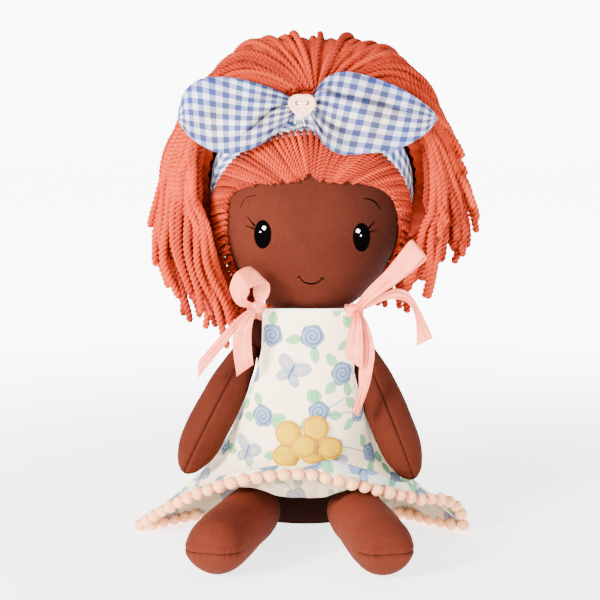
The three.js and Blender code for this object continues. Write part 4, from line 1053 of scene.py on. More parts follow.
def build_bow():
    rows, around = 110, 120
    t = np.linspace(0, 1, rows) ** 0.9
    for side, (top, bottom) in LOBES.items():
        sign = SIDES[side]["sign"]
        upper, lower = (hermite(edge, t * (len(edge) - 1)) for edge in (top, bottom))
        points, uvs, tones = [], [], []
        for share, high, low in zip(t, upper, lower):
            sweep = 14.0 * share ** 2.1
            puff = 4.4 * math.sin(math.pi * min(1, 0.14 + 0.86 * share ** 0.75)) ** 0.6 + 1.6
            close = math.sqrt(max(0.0, 1 - max(0.0, (share - 0.95) / 0.05) ** 2))
            half = (high - low) / 2 * max(close, 0.02)
            for a in full_turn(around):
                h, front = math.cos(a), math.sin(a)
                u, v = (high + low) / 2 + half * h
                folds, shade = bow_folds(side, share, h)
                out = puff * close * math.copysign(abs(front) ** 0.62, front)
                if front > 0:
                    soft = 1.7 * noise.noise(Vector((u / 24, v / 17, 3.0 + sign)))
                    out -= min(folds * min(1, 3 * front), out + 1.2) - soft * front
                points.append(at(u, v, BOW_Y + sweep - out))
                # Painted light and shade: the cloth is darker in the folds, and darker and bluer towards its upper
                # and lower edges and its outer end; the noise gives it random patches.
                lit = 0.74 * (1 - min(0.8, shade) * max(0.0, min(1.0, 3 * front)))
                lit *= 0.86 + 0.3 * noise.noise(Vector((u / 30, v / 24, 9.0)))
                rim = min(1.0, abs(h) ** 2.2 + max(0.0, share - 0.55) * 1.1)
                tones.append([lit * (1 - 0.42 * rim), lit * (0.95 - 0.27 * rim), lit * (0.9 + 0.08 * rim)])
                uvs.append((share * 72, h * 23.5 * (0.55 + 0.45 * math.sin(math.pi * min(1, share + 0.15)))))
        uv = points_of(*turned(*np.array(uvs).T, math.radians(-8 * sign))) * MM
        obj = make(f"bow_{side}_cloth", points, tube(rows, around), GINGHAM, uv=uv, tone=tones)
        dress_up(obj, "head", [f"bow_lobe_{side}"])
    build_gather()
    build_button()


def build_gather():
    """The pleated cloth round the bow's middle, with two loose stitches below it."""
    rows, around = 22, 44
    share, a = np.linspace(-1, 1, rows)[:, None], full_turn(around)
    pleats = np.cos(9 * a + 2 * share)
    high = (9.2 + 3.2 * share ** 2 + 0.5 * np.sin(7 * a)) * np.where(np.sin(a) > 0, 0.62, 0.92)
    grid = points_of(share * 6.2, -(4.6 + 0.45 * pleats) * np.cos(a), high * np.sin(a))
    # Painted shade: the cloth is darker towards its top and bottom, where it turns away, and changes with the
    # pleats.
    tone = 0.85 - 0.4 * np.abs(np.sin(a)) - 0.2 * pleats
    uv = points_of(share * 6, a * 9) * MM
    points = in_head(grid + [-5.0, -36.7, 49.5])
    obj = make("bow_gather_cloth", points, tube(rows, around), GINGHAM, uv=uv, tone=tone)
    dress_up(obj, "head", ["bow_gather"])
    stitches = []
    for u, v, lean in ((295.5, 116.5, -1), (303, 119, 3)):
        a, b = at(u, v, -41.9), at(u + lean * 0.6, v + 7.5, -40.7)
        stitches.append(smooth_path([a, (a + b) / 2 + [0, -0.9, 0], b], 8))
    thread("gather_stitches", stitches, 0.26, "head", step=0.6)


BUTTON_AT = (302.2, 104.2)
BUTTON_HALF = 7.5
# Share of the outline and height, from the underside round the edge to the face.
BUTTON_PROFILE = [(0.86, 0.0), (0.95, 0.12), (1.0, 0.45), (1.0, 1.9), (0.965, 2.6), (0.9, 2.93), (0.82, 3.0),
                  (0.74, 2.85), (0.62, 2.75)]
# Radius and height down each hole for the thread.
HOLE_PROFILE = [(1.25, 2.75), (1.1, 2.2), (1.1, 0.4)]
HOLES = [complex(-0.36, 0.1), complex(0.36, 0.1)]


def heart_outline(count):
    """A plain heart, about two units wide, as complex numbers."""
    t = np.linspace(0, math.tau, count, endpoint=False)
    x = np.sin(t) ** 3
    y = (13 * np.cos(t) - 5 * np.cos(2 * t) - 2 * np.cos(3 * t) - np.cos(4 * t)) / 16.5 + 0.06
    round_one = np.sin(t) + 1j * (0.92 * np.cos(t) - 0.02)
    return 0.34 * (x + 1j * y) + 0.66 * round_one


def filled(rings):
    """The flat face inside the first ring and outside the others: its corners and its polygons."""
    curve = bpy.data.curves.new("button_face", "CURVE")
    curve.dimensions = "2D"
    curve.fill_mode = "BOTH"
    for ring in rings:
        spline = curve.splines.new("POLY")
        spline.points.add(len(ring) - 1)
        for p, z in zip(spline.points, ring):
            p.co = (z.real, z.imag, 0, 1)
        spline.use_cyclic_u = True
    flat = bpy.data.objects.new("button_face", curve)
    bpy.context.scene.collection.objects.link(flat)
    mesh = bpy.data.meshes.new_from_object(flat.evaluated_get(bpy.context.evaluated_depsgraph_get()))
    bpy.data.objects.remove(flat)
    return np.array([complex(*v.co[:2]) for v in mesh.vertices]), [tuple(p.vertices) for p in mesh.polygons]


def build_button():
    """A wooden heart, sewn on through two holes."""
    around, round_hole = 96, 28
    outline, circle = heart_outline(around), np.exp(1j * full_turn(round_hole))
    holes = [h * BUTTON_HALF for h in HOLES]
    rings = [(outline * share * BUTTON_HALF, height) for share, height in BUTTON_PROFILE]
    corners, polygons = filled([rings[-1][0]] + [hole + HOLE_PROFILE[0][0] * circle for hole in holes])
    walls = [quads(len(rings), around, True)]
    top = len(rings) * around
    faces = [top + np.array([p for p in polygons if len(p) == n], int).reshape(-1, n) for n in (3, 4)]
    rings.append((corners, BUTTON_PROFILE[-1][1]))
    for hole in holes:
        walls.append(quads(len(HOLE_PROFILE), round_hole, True, sum(len(ring) for ring, _height in rings)))
        rings += [(hole + size * circle, height) for size, height in HOLE_PROFILE]
    points = np.concatenate([points_of(ring.real, -height, ring.imag) for ring, height in rings])
    centre = at(*BUTTON_AT, -41.0)
    faces += [np.concatenate(walls), np.arange(around)[None, ::-1]]
    dress_up(make("button_heart", points + centre, faces, WOOD), "head", ["heart_button"])
    a, b = (centre + [hole.real, 0, hole.imag] for hole in holes)
    paths = []
    for lift in (-0.2, 0.2):
        path = [a + [0, -1.2, lift], a + [0.6, -3.1, lift], (a + b) / 2 + [0, -3.5, lift * 1.2],
                b + [-0.6, -3.1, lift], b + [0, -1.2, lift]]
        paths.append(smooth_path(path, 20))
    thread("button_thread", paths, 0.32, "head", step=0.5)


# ---------------------------------------------------------------- dress

# Half widths at the neckline and the hem, then heights of the top edges and of the front hem's middle.
NECK_HALF, HEM_HALF = 25.5, 94.0
NECK_TOP, BACK_TOP, HEM_LIFT = 128.0, 110.0, 46.5
# How far forward the lap, the chest and the side seams lie, and how far back the hem and the neckline.
LAP, CHEST, SIDE_FORWARD, BACK_REACH, BACK_NECK = 71.5, 22.0, 24.0, 30.0, 21.0
# The row of the front that the flower lies on, and the share of the way down where the lap rolls over.
FLOWER_LEVEL = 6.35
ROLL_LEVEL = 11 / 12 - 0.004
HEM_SIDE = POM_RADIUS + 0.6
TOP_SWAY = 2.0
ARMHOLE_ROWS = 7
# The level curves from the neckline down: flare of the half width, height of the side, height of the
# middle, reach of the middle, reach of the side, and how bluntly the curve runs from side to middle.
FRONT_ROWS = [
    (0, 1, 1, 0, 0.75, 1), (0, 0.9, 0.85, 0.02, 0.7, 1), (0.003, 0.8, 0.71, 0.05, 0.65, 1),
    (0.04, 0.695, 0.56, 0.1, 0.6, 1), (0.1, 0.59, 0.41, 0.17, 0.55, 1.1), (0.165, 0.485, 0.28, 0.26, 0.5, 1.3),
    (0.24, 0.385, 0.165, 0.36, 0.38, 1.6), (0.335, 0.315, 0.06, 0.47, 0.25, 1.8),
    (0.5, 0.22, -0.01, 0.58, 0.36, 1.9), (0.69, 0.13, -0.035, 0.7, 0.56, 1.9), (0.8, 0.085, 0, 0.8, 0.72, 1.9),
    (0.9, 0.045, 0.045, 0.885, 0.86, 1.9), (1, 0, 0, 1, 1, 1.9),
]
BACK_ROWS = [
    (-0.02, 0.86, 1, 0, -0.72, 1), (0, 0.8, 0.91, 0.2, -0.7, 1), (0.003, 0.74, 0.82, 0.35, -0.68, 1),
    (0.04, 0.66, 0.72, 0.45, -0.62, 1), (0.1, 0.57, 0.61, 0.5, -0.52, 1), (0.165, 0.475, 0.5, 0.55, -0.4, 1.1),
    (0.24, 0.38, 0.4, 0.6, -0.15, 1.3), (0.335, 0.315, 0.31, 0.65, 0.25, 1.6),
    (0.5, 0.22, 0.22, 0.72, 0.36, 1.9), (0.69, 0.13, 0.14, 0.8, 0.56, 2.2),
    (0.855, 0.06, 0.07, 0.9, 0.8, 2.5), (1, 0, 0, 1, 1, 2.7),
]


def hem_wave(flare, s):
    """What the right half adds to the rise: the hem dips beside its middle and lifts before the side."""
    wave = np.where(s > 0, np.sin(math.tau * s), 0)
    return np.where(wave > 0, -0.09 * wave * flare ** 20, -0.19 * wave * flare ** 3)


def dress_grid(front, levels, s):
    """Points of a panel at fractional rows of its table and side shares s from -1 to 1."""
    table = FRONT_ROWS if front else BACK_ROWS
    flare, height, rise, reach, edge, bunch = hermite(table, levels).T[..., None]
    s = np.asarray(s)
    spread, at_hem = (
        np.where(s < 0, SIDES["left"][key], SIDES["right"][key]) for key in ("dress_beside", "dress_hem"))
    beside = np.clip((flare - 0.003) / 0.03, 0, 1)
    low = np.clip((flare - 0.36) / 0.06, 0, 1)
    half = NECK_HALF + (HEM_HALF - NECK_HALF) * flare
    half = half * ((1 + (spread - 1) * beside) * (1 - low) + at_hem * low)
    inner = np.maximum(np.cos(s * math.pi / 2), 1e-6) ** bunch
    lifted = inner + (hem_wave(np.clip(flare, 0, 1), s) if front else 0)
    side_z = HEM_SIDE + (NECK_TOP - 0.3 - HEM_SIDE) * height
    edge_y = -SIDE_FORWARD * edge
    if front:
        mid_z = HEM_LIFT + (NECK_TOP - HEM_LIFT) * rise
        mid_y = -(CHEST + (LAP - CHEST) * reach)
    else:
        mid_z = HEM_SIDE + (BACK_TOP - HEM_SIDE) * rise
        mid_y = BACK_NECK + (BACK_REACH - BACK_NECK) * reach
        edge_y = edge_y + 0.5 * np.clip(edge * 8, 0, 1)
    across = half * np.sin(s * math.pi / 2) + TOP_SWAY * np.clip((height - 0.45) / 0.5, 0, 1)
    return np.stack([across, edge_y + (mid_y - edge_y) * inner, side_z + (mid_z - side_z) * lifted], -1)


def pom_line(front):
    """The hem that the pom-poms hang on; at the back they lie on the floor."""
    last = len(FRONT_ROWS if front else BACK_ROWS) - 1
    line = dress_grid(front, [last], np.linspace(-1, 1, 241))[0]
    if not front:
        line[:, 2] = POM_RADIUS
    return line


def over(base, color, cover):
    """Paint laid over the colours so far, where and as far as it covers them."""
    return base + (np.asarray(color) - base) * np.clip(cover, 0, 1)[..., None]


def within(low, high, x):
    """1 where x is below low, falling smoothly to 0 at high."""
    return 1 - smoothstep(low, high, x)


CREAM = (0.98, 0.81, 0.55)
ROSE, ROSE_DARK, ROSE_LIGHT = (0.12, 0.19, 0.3), (0.055, 0.1, 0.19), (0.32, 0.43, 0.5)
LEAF, LEAF_DARK = (0.12, 0.46, 0.19), (0.03, 0.2, 0.075)
WING, WING_LINE, BLUSH = (0.16, 0.25, 0.36), (0.05, 0.09, 0.17), (0.75, 0.36, 0.26)
STALK = (0.11, 0.15, 0.24)


def paint_leaf(patch, x, y, length, wide):
    """A pointed leaf from the origin along x, with an outline and a vein."""
    lens = wide * (1 - (2 * x / length - 1) ** 2) * (x > 0) * (x < length)
    edge = np.abs(y) - lens
    patch = over(patch, LEAF, 0.9 * within(-0.3, 0.2, edge) * (lens > 0.02))
    patch = over(patch, LEAF_DARK, 0.75 * within(0.15, 0.42, np.abs(edge)) * (lens > 0.02))
    return over(patch, LEAF_DARK, 0.55 * within(0.05, 0.38, np.abs(y)) * (x > 0.4) * (x < length * 0.86))


def paint_rose(patch, x, y, size, rng):
    """A round blossom seen from above: a pale line winds into its middle."""
    r, a = np.hypot(x, y), np.arctan2(y, x)
    edge = r - size * (0.94 + 0.06 * np.cos(5 * a + rng.uniform(0, 6)))
    cover = within(-0.35, 0.25, edge)
    patch = over(patch, ROSE, cover)
    patch = over(patch, ROSE_DARK, 0.6 * cover * smoothstep(-0.5, 1.0, (x * 0.6 - y * 0.8) / size))
    wound = (r / size * 2.7 - a / math.tau) % 1
    cover = cover * (r < size * 0.9)
    patch = over(patch, ROSE_LIGHT, 0.6 * cover * within(0.1, 0.24, np.abs(wound - 0.5)))
    patch = over(patch, ROSE_DARK, 0.5 * cover * within(0.03, 0.13, np.minimum(wound, 1 - wound)))
    return over(patch, ROSE_DARK, 0.75 * within(0.2, 0.5, np.abs(edge)))


def paint_wings(patch, x, y):
    """A butterfly with its wings spread."""
    for side in (-1, 1):
        for cx, cy, half_x, half_y, tilt in ((4.1, 2.9, 4.6, 3.1, 0.55), (3.0, -3.3, 3.3, 2.3, -0.7)):
            wx, wy = turned(x * side - cx, y - cy, tilt)
            shape = np.hypot(wx / half_x, wy / half_y)
            patch = over(patch, WING, 0.8 * within(0.92, 1.04, shape))
            patch = over(patch, BLUSH, 0.35 * within(0.15, 0.5, shape))
            patch = over(patch, WING_LINE, 0.7 * within(0.04, 0.14, np.abs(shape - 1)))
            patch = over(patch, WING_LINE, 0.3 * within(0.03, 0.1, np.abs(shape - 0.62)))
    patch = over(patch, WING_LINE, 0.85 * within(0.8, 1.15, np.hypot(x / 0.75, y / 4.6)))
    feeler = np.abs(np.abs(x) - 0.3 - 0.16 * (y - 4) ** 2)
    return over(patch, WING_LINE, 0.7 * within(0.1, 0.4, feeler) * (y > 4) * (y < 7.5))


def paint_print(u, v, seed):
    """A loose floral of blue blossoms, green leaves, grey-blue butterflies and thin stalks on cream,
    drawn by formulas. u and v are lengths in millimetres on the flat cloth."""
    color = np.zeros(u.shape + (3,)) + np.array(CREAM)
    rng = np.random.default_rng(seed)
    spots = []
    for row, cv in enumerate(np.arange(-9, 200, 23.0)):
        for cu in np.arange(-174, 175, 27.5):
            place = cu + (row % 2) * 13.7 + rng.uniform(-3, 3), cv + rng.uniform(-2.6, 2.6)
            spots.append((*place, rng.uniform(0, math.tau), rng.uniform(0, 1)))
    for cu, cv, spin, kind in spots:
        near = (np.abs(u - cu) < 28) & (np.abs(v - cv) < 28)
        if not near.any():
            continue
        du, dv = u[near] - cu, cv - v[near]
        patch = color[near]
        if kind < 0.42:
            x, y = turned(du, dv, spin + 0.6)
            stalk = within(0.2, 0.5, np.abs(y - 0.008 * (x - 4) ** 2))
            patch = over(patch, STALK, 0.85 * stalk * (x > 5) * (x < 27))
        if kind < 0.8:
            size = 5.9 + 1.2 * kind
            for k in range(2 + int(kind * 30) % 3):
                x, y = turned(du, dv, spin + k * rng.uniform(1.1, 2.3))
                patch = paint_leaf(patch, x - size * 0.8, y, rng.uniform(8.2, 10.4), rng.uniform(2.2, 2.9))
            patch = paint_rose(patch, du, dv, size, rng)
        else:
            x, y = turned(du, dv, 0.7 * math.sin(spin))
            patch = paint_wings(patch, x / 1.15, y / 1.15)
        color[near] = patch
    return color


def dress_panel(name, front, rows, columns, node, seed):
    """One panel of the dress as it hangs, its rows from the top edge down."""
    last = len(FRONT_ROWS if front else BACK_ROWS) - 1
    levels, share = np.linspace(0, last, rows), np.linspace(-1, 1, columns)
    grid = dress_grid(front, levels, share)
    normal = normals_of(grid, False) * (1 if front else -1)
    level = levels[:, None] / last
    run = lengths(grid, 0)
    inside = 1 - np.abs(share) ** 6
    ripples = 1.5 * np.sin(share * 17 + 0.8 * np.sin(level * 5)) + 0.9 * np.sin(share * 31 + 2 + level * 3)
    gather = (0.04 if front else 0.35) * np.sin(share * 46 + np.sin(level * 20)) * within(0.03, 0.3, level)
    lift = (smoothstep(0.45, 1.0, level) * ripples + gather) * inside + 0.5 * wobble(grid, 13, 2.0 + seed)
    if front:
        # The roll that lies across the lap, right of the middle, and the casing along the top edge.
        roll = np.exp(-((share - 0.24) / 0.22) ** 2 - ((level - ROLL_LEVEL) / 0.03) ** 2)
        lift += 2.6 * roll + 0.3 * np.exp(-((level - 0.02) / 0.02) ** 2)
        # The cloth lies flat under the flower.
        flat = np.exp(-(((share * 60) / 22) ** 2 + ((levels[:, None] - FLOWER_LEVEL) / 2.3) ** 2) ** 2)
        lift = np.minimum(lift, 3.5) * (1 - 0.96 * flat)
    grid = grid + normal * lift[..., None]
    if not front:
        grid[..., 2] = np.maximum(grid[..., 2], 0.7)
    across = lengths(grid, 1)
    across = across - across[:, [columns // 2]]
    tone = paint_print(across, run, seed)
    faces = quads(rows, columns)
    if front:
        # The right side of the lap lies in its own shade.
        shade = np.exp(-((level - 0.93) / 0.05) ** 2) * smoothstep(0, 0.12, share) * within(0.35, 0.6, share)
        tone = tone * (1 - shade[..., None] * np.array([0.5, 0.32, 0.05]))
        faces = faces[:, ::-1]
    obj = make(name, grid, faces, PRINT, uv=points_of(across, run) * MM, tone=tone, extra=[PRINT_BACK])
    dress_up(obj, "torso", [node])
    flat = (float(across[-1, -1] - across[-1, 0]) * SLACK * MM, float(run.max()) * SLACK * MM)
    thicken(obj, 0.55, 1)


def build_poms(name, front, node):
    """The pom-poms along one hem, and the tape that they hang on."""
    rng = np.random.default_rng(11 if front else 12)
    line = pom_line(front)
    run = lengths(line, 0)
    places = np.linspace(0, run[-1], int(round(run[-1] / POM_PITCH)) + 1)
    if not front:
        places = places[1:-1]
    sphere = bmesh.new()
    bmesh.ops.create_icosphere(sphere, subdivisions=4, radius=1)
    ball = np.array([v.co[:] for v in sphere.verts])
    triangles = np.array([[v.index for v in f.verts] for f in sphere.faces])
    sphere.free()
    points, faces = [], []
    for i, place in enumerate(places):
        fuzz = wobble(ball * 10, 3.2, i * 1.7) * 0.07 + wobble(ball * 10, 1.1, i * 0.9) * 0.085
        size = POM_RADIUS * rng.uniform(0.94, 1.06)
        squash = [1.0, 1.0, rng.uniform(0.92, 1.04)]
        shape = ball * (1 + fuzz)[:, None] * size * squash + on_path(place, run, line)
        if not front:
            shape[:, 2] = np.maximum(shape[:, 2], 0.05)
        points.append(shape)
        faces.append(triangles + i * len(ball))
    obj = make(name, points, np.concatenate(faces), POMS)
    dress_up(obj, "torso", [node])
    tape = on_path(np.linspace(places[0], places[-1], 400), run, line) + [0, 0.6, 1.6 if front else 0.9]
    yarn_piece(f"{name}_tape", [(tape, 0.8, 1.0, 0.5)], POMS, "torso", around=8, plies=2, pitch=3.0)


def thigh_top(x, y):
    """Height of the thighs, with the room that they sway in, at points x and y."""
    top = np.zeros_like(x)
    for own in SIDES.values():
        sign, lean = own["sign"], math.radians(own["leg_out"])
        hip_x, hip_y, _z = hip(sign)
        middle = hip_x - sign * (y - hip_y) * math.tan(lean)
        off = np.maximum(0, np.abs(x - middle) * math.cos(lean) - LEG_SWAY) / LEG["half"]
        high = HIP_Z + LEG["front"] * np.sqrt(np.clip(1 - off * off, 0, 1))
        top = np.maximum(top, np.where((off < 1) & (x * sign > 0), high, 0))
    return top


def build_facing():
    """The facing inside the front hem, which hangs down to the thighs and lower between them."""
    rows, columns = 40, 300
    s = np.linspace(-1, 1, columns) * 0.52
    last = len(FRONT_ROWS) - 1
    above, edge = dress_grid(True, [last - 1, last], s)
    down = unit(edge - above)
    inwards = unit(np.cross(np.gradient(edge, axis=0), down))
    # It starts above the hem, inside the dress.
    top = edge - down * 5.8 + inwards * 2.2
    room = top[:, 2] - thigh_top(top[:, 0], top[:, 1]) - 2.6
    deep = np.clip(room, 1, 17) * (1 - 0.8 * smoothstep(0.3, 0.5, np.abs(s)))
    # Its lower edge runs smoothly from the thighs down between them.
    kernel = np.exp(-np.linspace(-2, 2, 61) ** 2)
    deep = np.minimum(np.convolve(np.pad(deep, 30, "edge"), kernel / kernel.sum(), "valid"), deep + 2.2)
    t = np.linspace(0, 1, rows)[:, None]
    ruffle = (0.5 * np.sin(s * 43 + 2 * t) + 0.3 * np.sin(s * 90)) * t * np.clip(deep / 8, 0, 1)
    grid = top + points_of(0, 0.25 * deep * t - ruffle, -deep * t)
    across, run = lengths(grid, 1), lengths(grid, 0)
    uv, tone = points_of(across, run) * MM, paint_print(across - 60, run + 40, 31)
    obj = make("hem_facing_cloth", grid, quads(rows, columns), PRINT_BACK, uv=uv, tone=tone)
    dress_up(obj, "torso", ["dress_hem_facing"])
    thicken(obj, 0.5)


def build_edges():
    """Narrow bound edges of the neckline and armholes, and the side seams."""
    across, armhole = np.linspace(-1, 1, 120), np.linspace(0, ARMHOLE_ROWS, 90)
    paths = {"neckline_front": dress_grid(True, [0.0], across)[0]}
    paths["neckline_back"] = dress_grid(False, [0.0], across)[0]
    for side, own in SIDES.items():
        paths[f"armhole_{side}_front"] = dress_grid(True, armhole, [own["sign"]])[:, 0]
        paths[f"armhole_{side}_back"] = dress_grid(False, armhole, [own["sign"]])[:, 0]
        seam = dress_grid(True, np.linspace(ARMHOLE_ROWS, 11.6, 90), [own["sign"]])[:, 0]
        paths[f"side_seam_{side}"] = seam + [0, 0.3, 0]
    for name, path in paths.items():
        thread(f"binding_{name}", [path], 0.75, "torso")


# ---------------------------------------------------------------- felt flower

# Middle of each disc in the photograph, half width and half height there (mm), height off the cloth.
PETALS = [(288.2, 433.5, 7.0, 7.2, 0.4), (315.2, 429.0, 7.3, 7.4, 0.5), (329.5, 449.0, 6.6, 6.6, 0.6),
          (313.0, 459.5, 6.2, 2.8, 0.3), (285.5, 457.0, 7.0, 6.8, 0.55)]
CENTRE = (304.6, 448.0, 6.8, 6.8, 1.5)
# Pixels to the millimetre at the edge of the discs, and the same shortened to the row of stitches.
EDGE_PX, STITCH_PX = 1.77, 1.54
DISC_RINGS, DISC_AROUND = 16, 64
STITCHES = 60


def on_dress(pixels, out):
    """Points out mm off the front of the dress that stand behind the given pixels."""
    rows, columns = 160, 121
    levels, shares = np.linspace(4, len(FRONT_ROWS) - 1.02, rows), np.linspace(-0.55, 0.55, columns)
    cloth = dress_grid(True, levels, shares)
    table = np.concatenate([cloth, normals_of(cloth, False), to_pixels(cloth)], -1)

    def look(row, column):
        r, c = np.clip(row, 0, rows - 1.001), np.clip(column, 0, columns - 1.001)
        i, j = r.astype(int), c.astype(int)
        a, b = (r - i)[:, None], (c - j)[:, None]
        upper = table[i, j] * (1 - b) + table[i, j + 1] * b
        return upper * (1 - a) + (table[i + 1, j] * (1 - b) + table[i + 1, j + 1] * b) * a

    # Steps towards the pixels, by the slope of the table where each point is.
    row = column = np.full(len(pixels), 60.0)
    for _ in range(14):
        here, down, right = look(row, column), look(row + 1, column), look(row, column + 1)
        miss = pixels - here[:, 6:]
        d, r = down[:, 6:] - here[:, 6:], right[:, 6:] - here[:, 6:]
        flat = d[:, 0] * r[:, 1] - d[:, 1] * r[:, 0]
        down_by = (miss[:, 0] * r[:, 1] - miss[:, 1] * r[:, 0]) / flat
        right_by = (d[:, 0] * miss[:, 1] - d[:, 1] * miss[:, 0]) / flat
        row = np.clip(row + np.clip(down_by, -12, 12), 0, rows - 3)
        column = np.clip(column + np.clip(right_by, -12, 12), 0, columns - 3)
    here = look(row, column)
    return here[:, :3] + unit(here[:, 3:6]) * np.asarray(out)[:, None]


def felt_disc(disc_at, seed):
    """Points of a padded disc of felt: a stitched groove runs inside its edge."""
    u, v, half_x, half_z, base = disc_at
    rings = DISC_RINGS
    pixels, lifts = [(u, v)], [base + 2.2]
    for r in range(1, rings + 1):
        share = min(1.0, r / (rings - 1))
        puff = 0.95 + 1.25 * math.sqrt(max(0.0, 1 - (share / 0.86) ** 2.6))
        puff += 0.25 * math.exp(-((share - 0.95) / 0.05) ** 2) - 0.3 * share ** 30
        for a in full_turn(DISC_AROUND):
            wavy = share * (1 + 0.014 * math.sin(5 * a + seed) + 0.008 * math.sin(11 * a + 2 * seed)) * EDGE_PX
            pixels.append((u + half_x * wavy * math.cos(a), v - half_z * wavy * math.sin(a)))
            lifts.append(base + puff if r < rings else 0.0)
    return on_dress(pixels, lifts)


def build_flower():
    for node, discs in (("flower_petals", PETALS), ("flower_centre", [CENTRE])):
        points, fans, grids, stitches = [], [], [], []
        for index, disc_at in enumerate(discs):
            u, v, half_x, half_z, base = disc_at
            shape = felt_disc(disc_at, index * 1.3)
            fan, grid = disc(DISC_RINGS, DISC_AROUND)
            points.append(shape)
            fans.append(fan + index * len(shape))
            grids.append(grid + index * len(shape))
            for k in range(STITCHES):
                ends = [math.tau * (k + part) / STITCHES for part in (0, 0.36, 0.72)]
                line = [(u + STITCH_PX * half_x * math.cos(a), v - STITCH_PX * half_z * math.sin(a)) for a in ends]
                # The centre covers the petals' inner stitches.
                if node == "flower_petals" and min(math.dist(p, CENTRE[:2]) for p in line) < 11.5:
                    continue
                path = on_dress(line, [base + 0.85, base + 1.08, base + 0.85])
                stitches.append(smooth_path(path, 5))
        obj = make(f"{node}_felt", points, [np.concatenate(fans), np.concatenate(grids)], FELT)
        dress_up(obj, "torso", [node])
        thread(f"{node}_stitches", stitches, 0.3, "torso", STITCH, around=6, step=0.25)


# ---------------------------------------------------------------- ribbons


def satin_sheet(name, grid, run, nodes=(), rides=True):
    """A thin strip of satin; its columns span the ribbon's width."""
    rows, columns = grid.shape[:2]
    uv = points_of(np.linspace(0, RIBBON_WIDTH, columns), run[:, None]) * MM
    obj = make(name, grid, quads(rows, columns), SATIN, uv=uv)
    if rides:
        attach(obj, "torso")
    if nodes:
        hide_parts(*nodes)
    return thicken(obj, 0.25)


def ribbon(name, left, right):
    """A length of satin ribbon between two edges given as pixels (u, v, y); where they come closer than
    its width the ribbon is gathered in pleats."""
    edges = [smooth_path([at(*p) for p in edge], 200) for edge in (left, right)]
    whole = (edges[0] + edges[1]) / 2
    middle, run = resample(whole, 1.0)
    sides = [on_path(run, lengths(whole, 0), edge) for edge in edges]
    across = sides[1] - sides[0]
    face = unit(np.cross(across, np.gradient(middle, axis=0)))
    gathered = np.clip(1 - np.linalg.norm(across, axis=1) / RIBBON_WIDTH, 0, 0.8)[:, None]
    share = np.linspace(-1, 1, 17)
    cup = 0.3 * (1 - share * share) + 0.15 * np.sin(share * 5 + run[:, None] / 9) + gathered * np.cos(share * 8)
    grid = middle[:, None] + across[:, None] * (share / 2)[:, None] + face[:, None] * cup[..., None]
    if name not in TAILS:
        satin_sheet(name, grid, run)
        return
    node, side, reach = TAILS[name]
    obj = satin_sheet(name, grid, run, [node], rides=False)
    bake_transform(obj)


def knot(name, pixel, node):
    """A knot of ribbon: a small pillow with folds that wrap round it."""
    rows, around = 20, 40
    polar, a = (np.arange(rows)[:, None] + 0.5) * math.pi / rows, full_turn(around)
    size = 1 + 0.1 * np.cos(5 * polar + 2 * np.sin(a)) + 0.06 * np.sin(3 * a + 6 * polar)
    ring = size * np.sin(polar)
    grid = points_of(4.0 * ring * np.cos(a), -3.4 * ring * np.sin(a), 4.0 * size * np.cos(polar))
    uv = points_of(np.arange(rows)[:, None] * 0.6, np.arange(around) * 0.5) * MM
    obj = make(name, grid + at(*pixel), tube(rows, around), SATIN, uv=uv)
    dress_up(obj, "torso", [node])


KNOTS = {"left": (258, 307, -27), "right": (353, 311, -27)}
# The two edges of each ribbon.
RIBBONS = {
    "left_tie_loop": (
        [(253, 308, -28), (238, 305, -30), (230, 291, -33), (232, 279, -34.5), (238, 270.7, -35),
         (250.6, 266.4, -31), (257, 276, -27), (253, 291, -27), (256, 303, -27.5)],
        [(257, 304, -28), (247, 300, -31), (249.5, 292.5, -37), (249.5, 290, -39.5), (250, 288, -40.5),
         (267, 282.7, -36.5), (270, 289, -34), (268, 297, -32.5), (261, 305, -29)]),
    "left_tail_long": (
        [(253, 308, -29), (243, 313, -30), (230, 325, -31), (214, 343, -31), (198, 361.6, -30)],
        [(252, 312, -29.5), (244, 319, -30.5), (232, 336, -32), (216, 356, -32), (198, 378.3, -31)]),
    "left_tail_short": (
        [(254, 309, -29.5), (242, 320, -31.5), (233, 336, -33), (233.5, 353, -33), (236.8, 376.6, -32)],
        [(258, 309, -29.5), (253.5, 320, -32), (251.5, 334, -33.5), (251.8, 349, -33), (253.5, 364.5, -31.5)]),
    "right_tie_loop": (
        [(354, 306, -28), (367, 289, -33), (385, 271, -40), (399, 254, -45), (410, 240.5, -47),
         (412, 243, -43), (400, 256, -41), (385, 272, -37), (368, 291, -31), (355, 307, -27)],
        [(359, 311, -29), (377, 297, -34), (397, 283, -42), (412, 270, -47), (424, 256.5, -49),
         (426, 260, -45), (412, 272, -43), (396, 284, -38), (376, 298, -31), (360, 311, -27.5)]),
    "right_tail_arc": (
        [(358, 308, -29), (367, 303.5, -30), (378, 296.5, -31.5), (393.5, 288.5, -32), (408, 291.5, -31),
         (418.5, 306.5, -30), (426, 322, -29), (433, 338, -28)],
        [(359, 312, -29), (369, 307.5, -31), (383, 301, -33), (398.5, 299.5, -34), (409, 304.5, -33),
         (415, 317, -31), (416.5, 331, -29), (416.3, 346, -28)]),
    "right_tail_long": (
        [(357, 312, -29.5), (361, 321, -30.5), (363, 337, -31), (362, 355, -31.5), (359, 371, -32),
         (358.5, 391, -33), (352, 411, -33.5)],
        [(361, 312, -30), (368, 323, -32), (373, 340, -34), (374.5, 355, -34.5), (373, 367, -34.5),
         (369, 387, -34), (358, 417, -33.5)]),
    "right_hanging_loop": (
        [(353, 312, -31), (350.5, 325, -33.5), (346.5, 341, -35.5), (345, 354, -36), (347, 356.5, -34.5),
         (349, 342, -33), (354, 324, -31)],
        [(359, 312, -31), (362, 325, -34.5), (363, 345, -36.5), (362.5, 367, -36), (361, 367, -34),
         (360, 345, -33), (358, 324, -31)]),
}
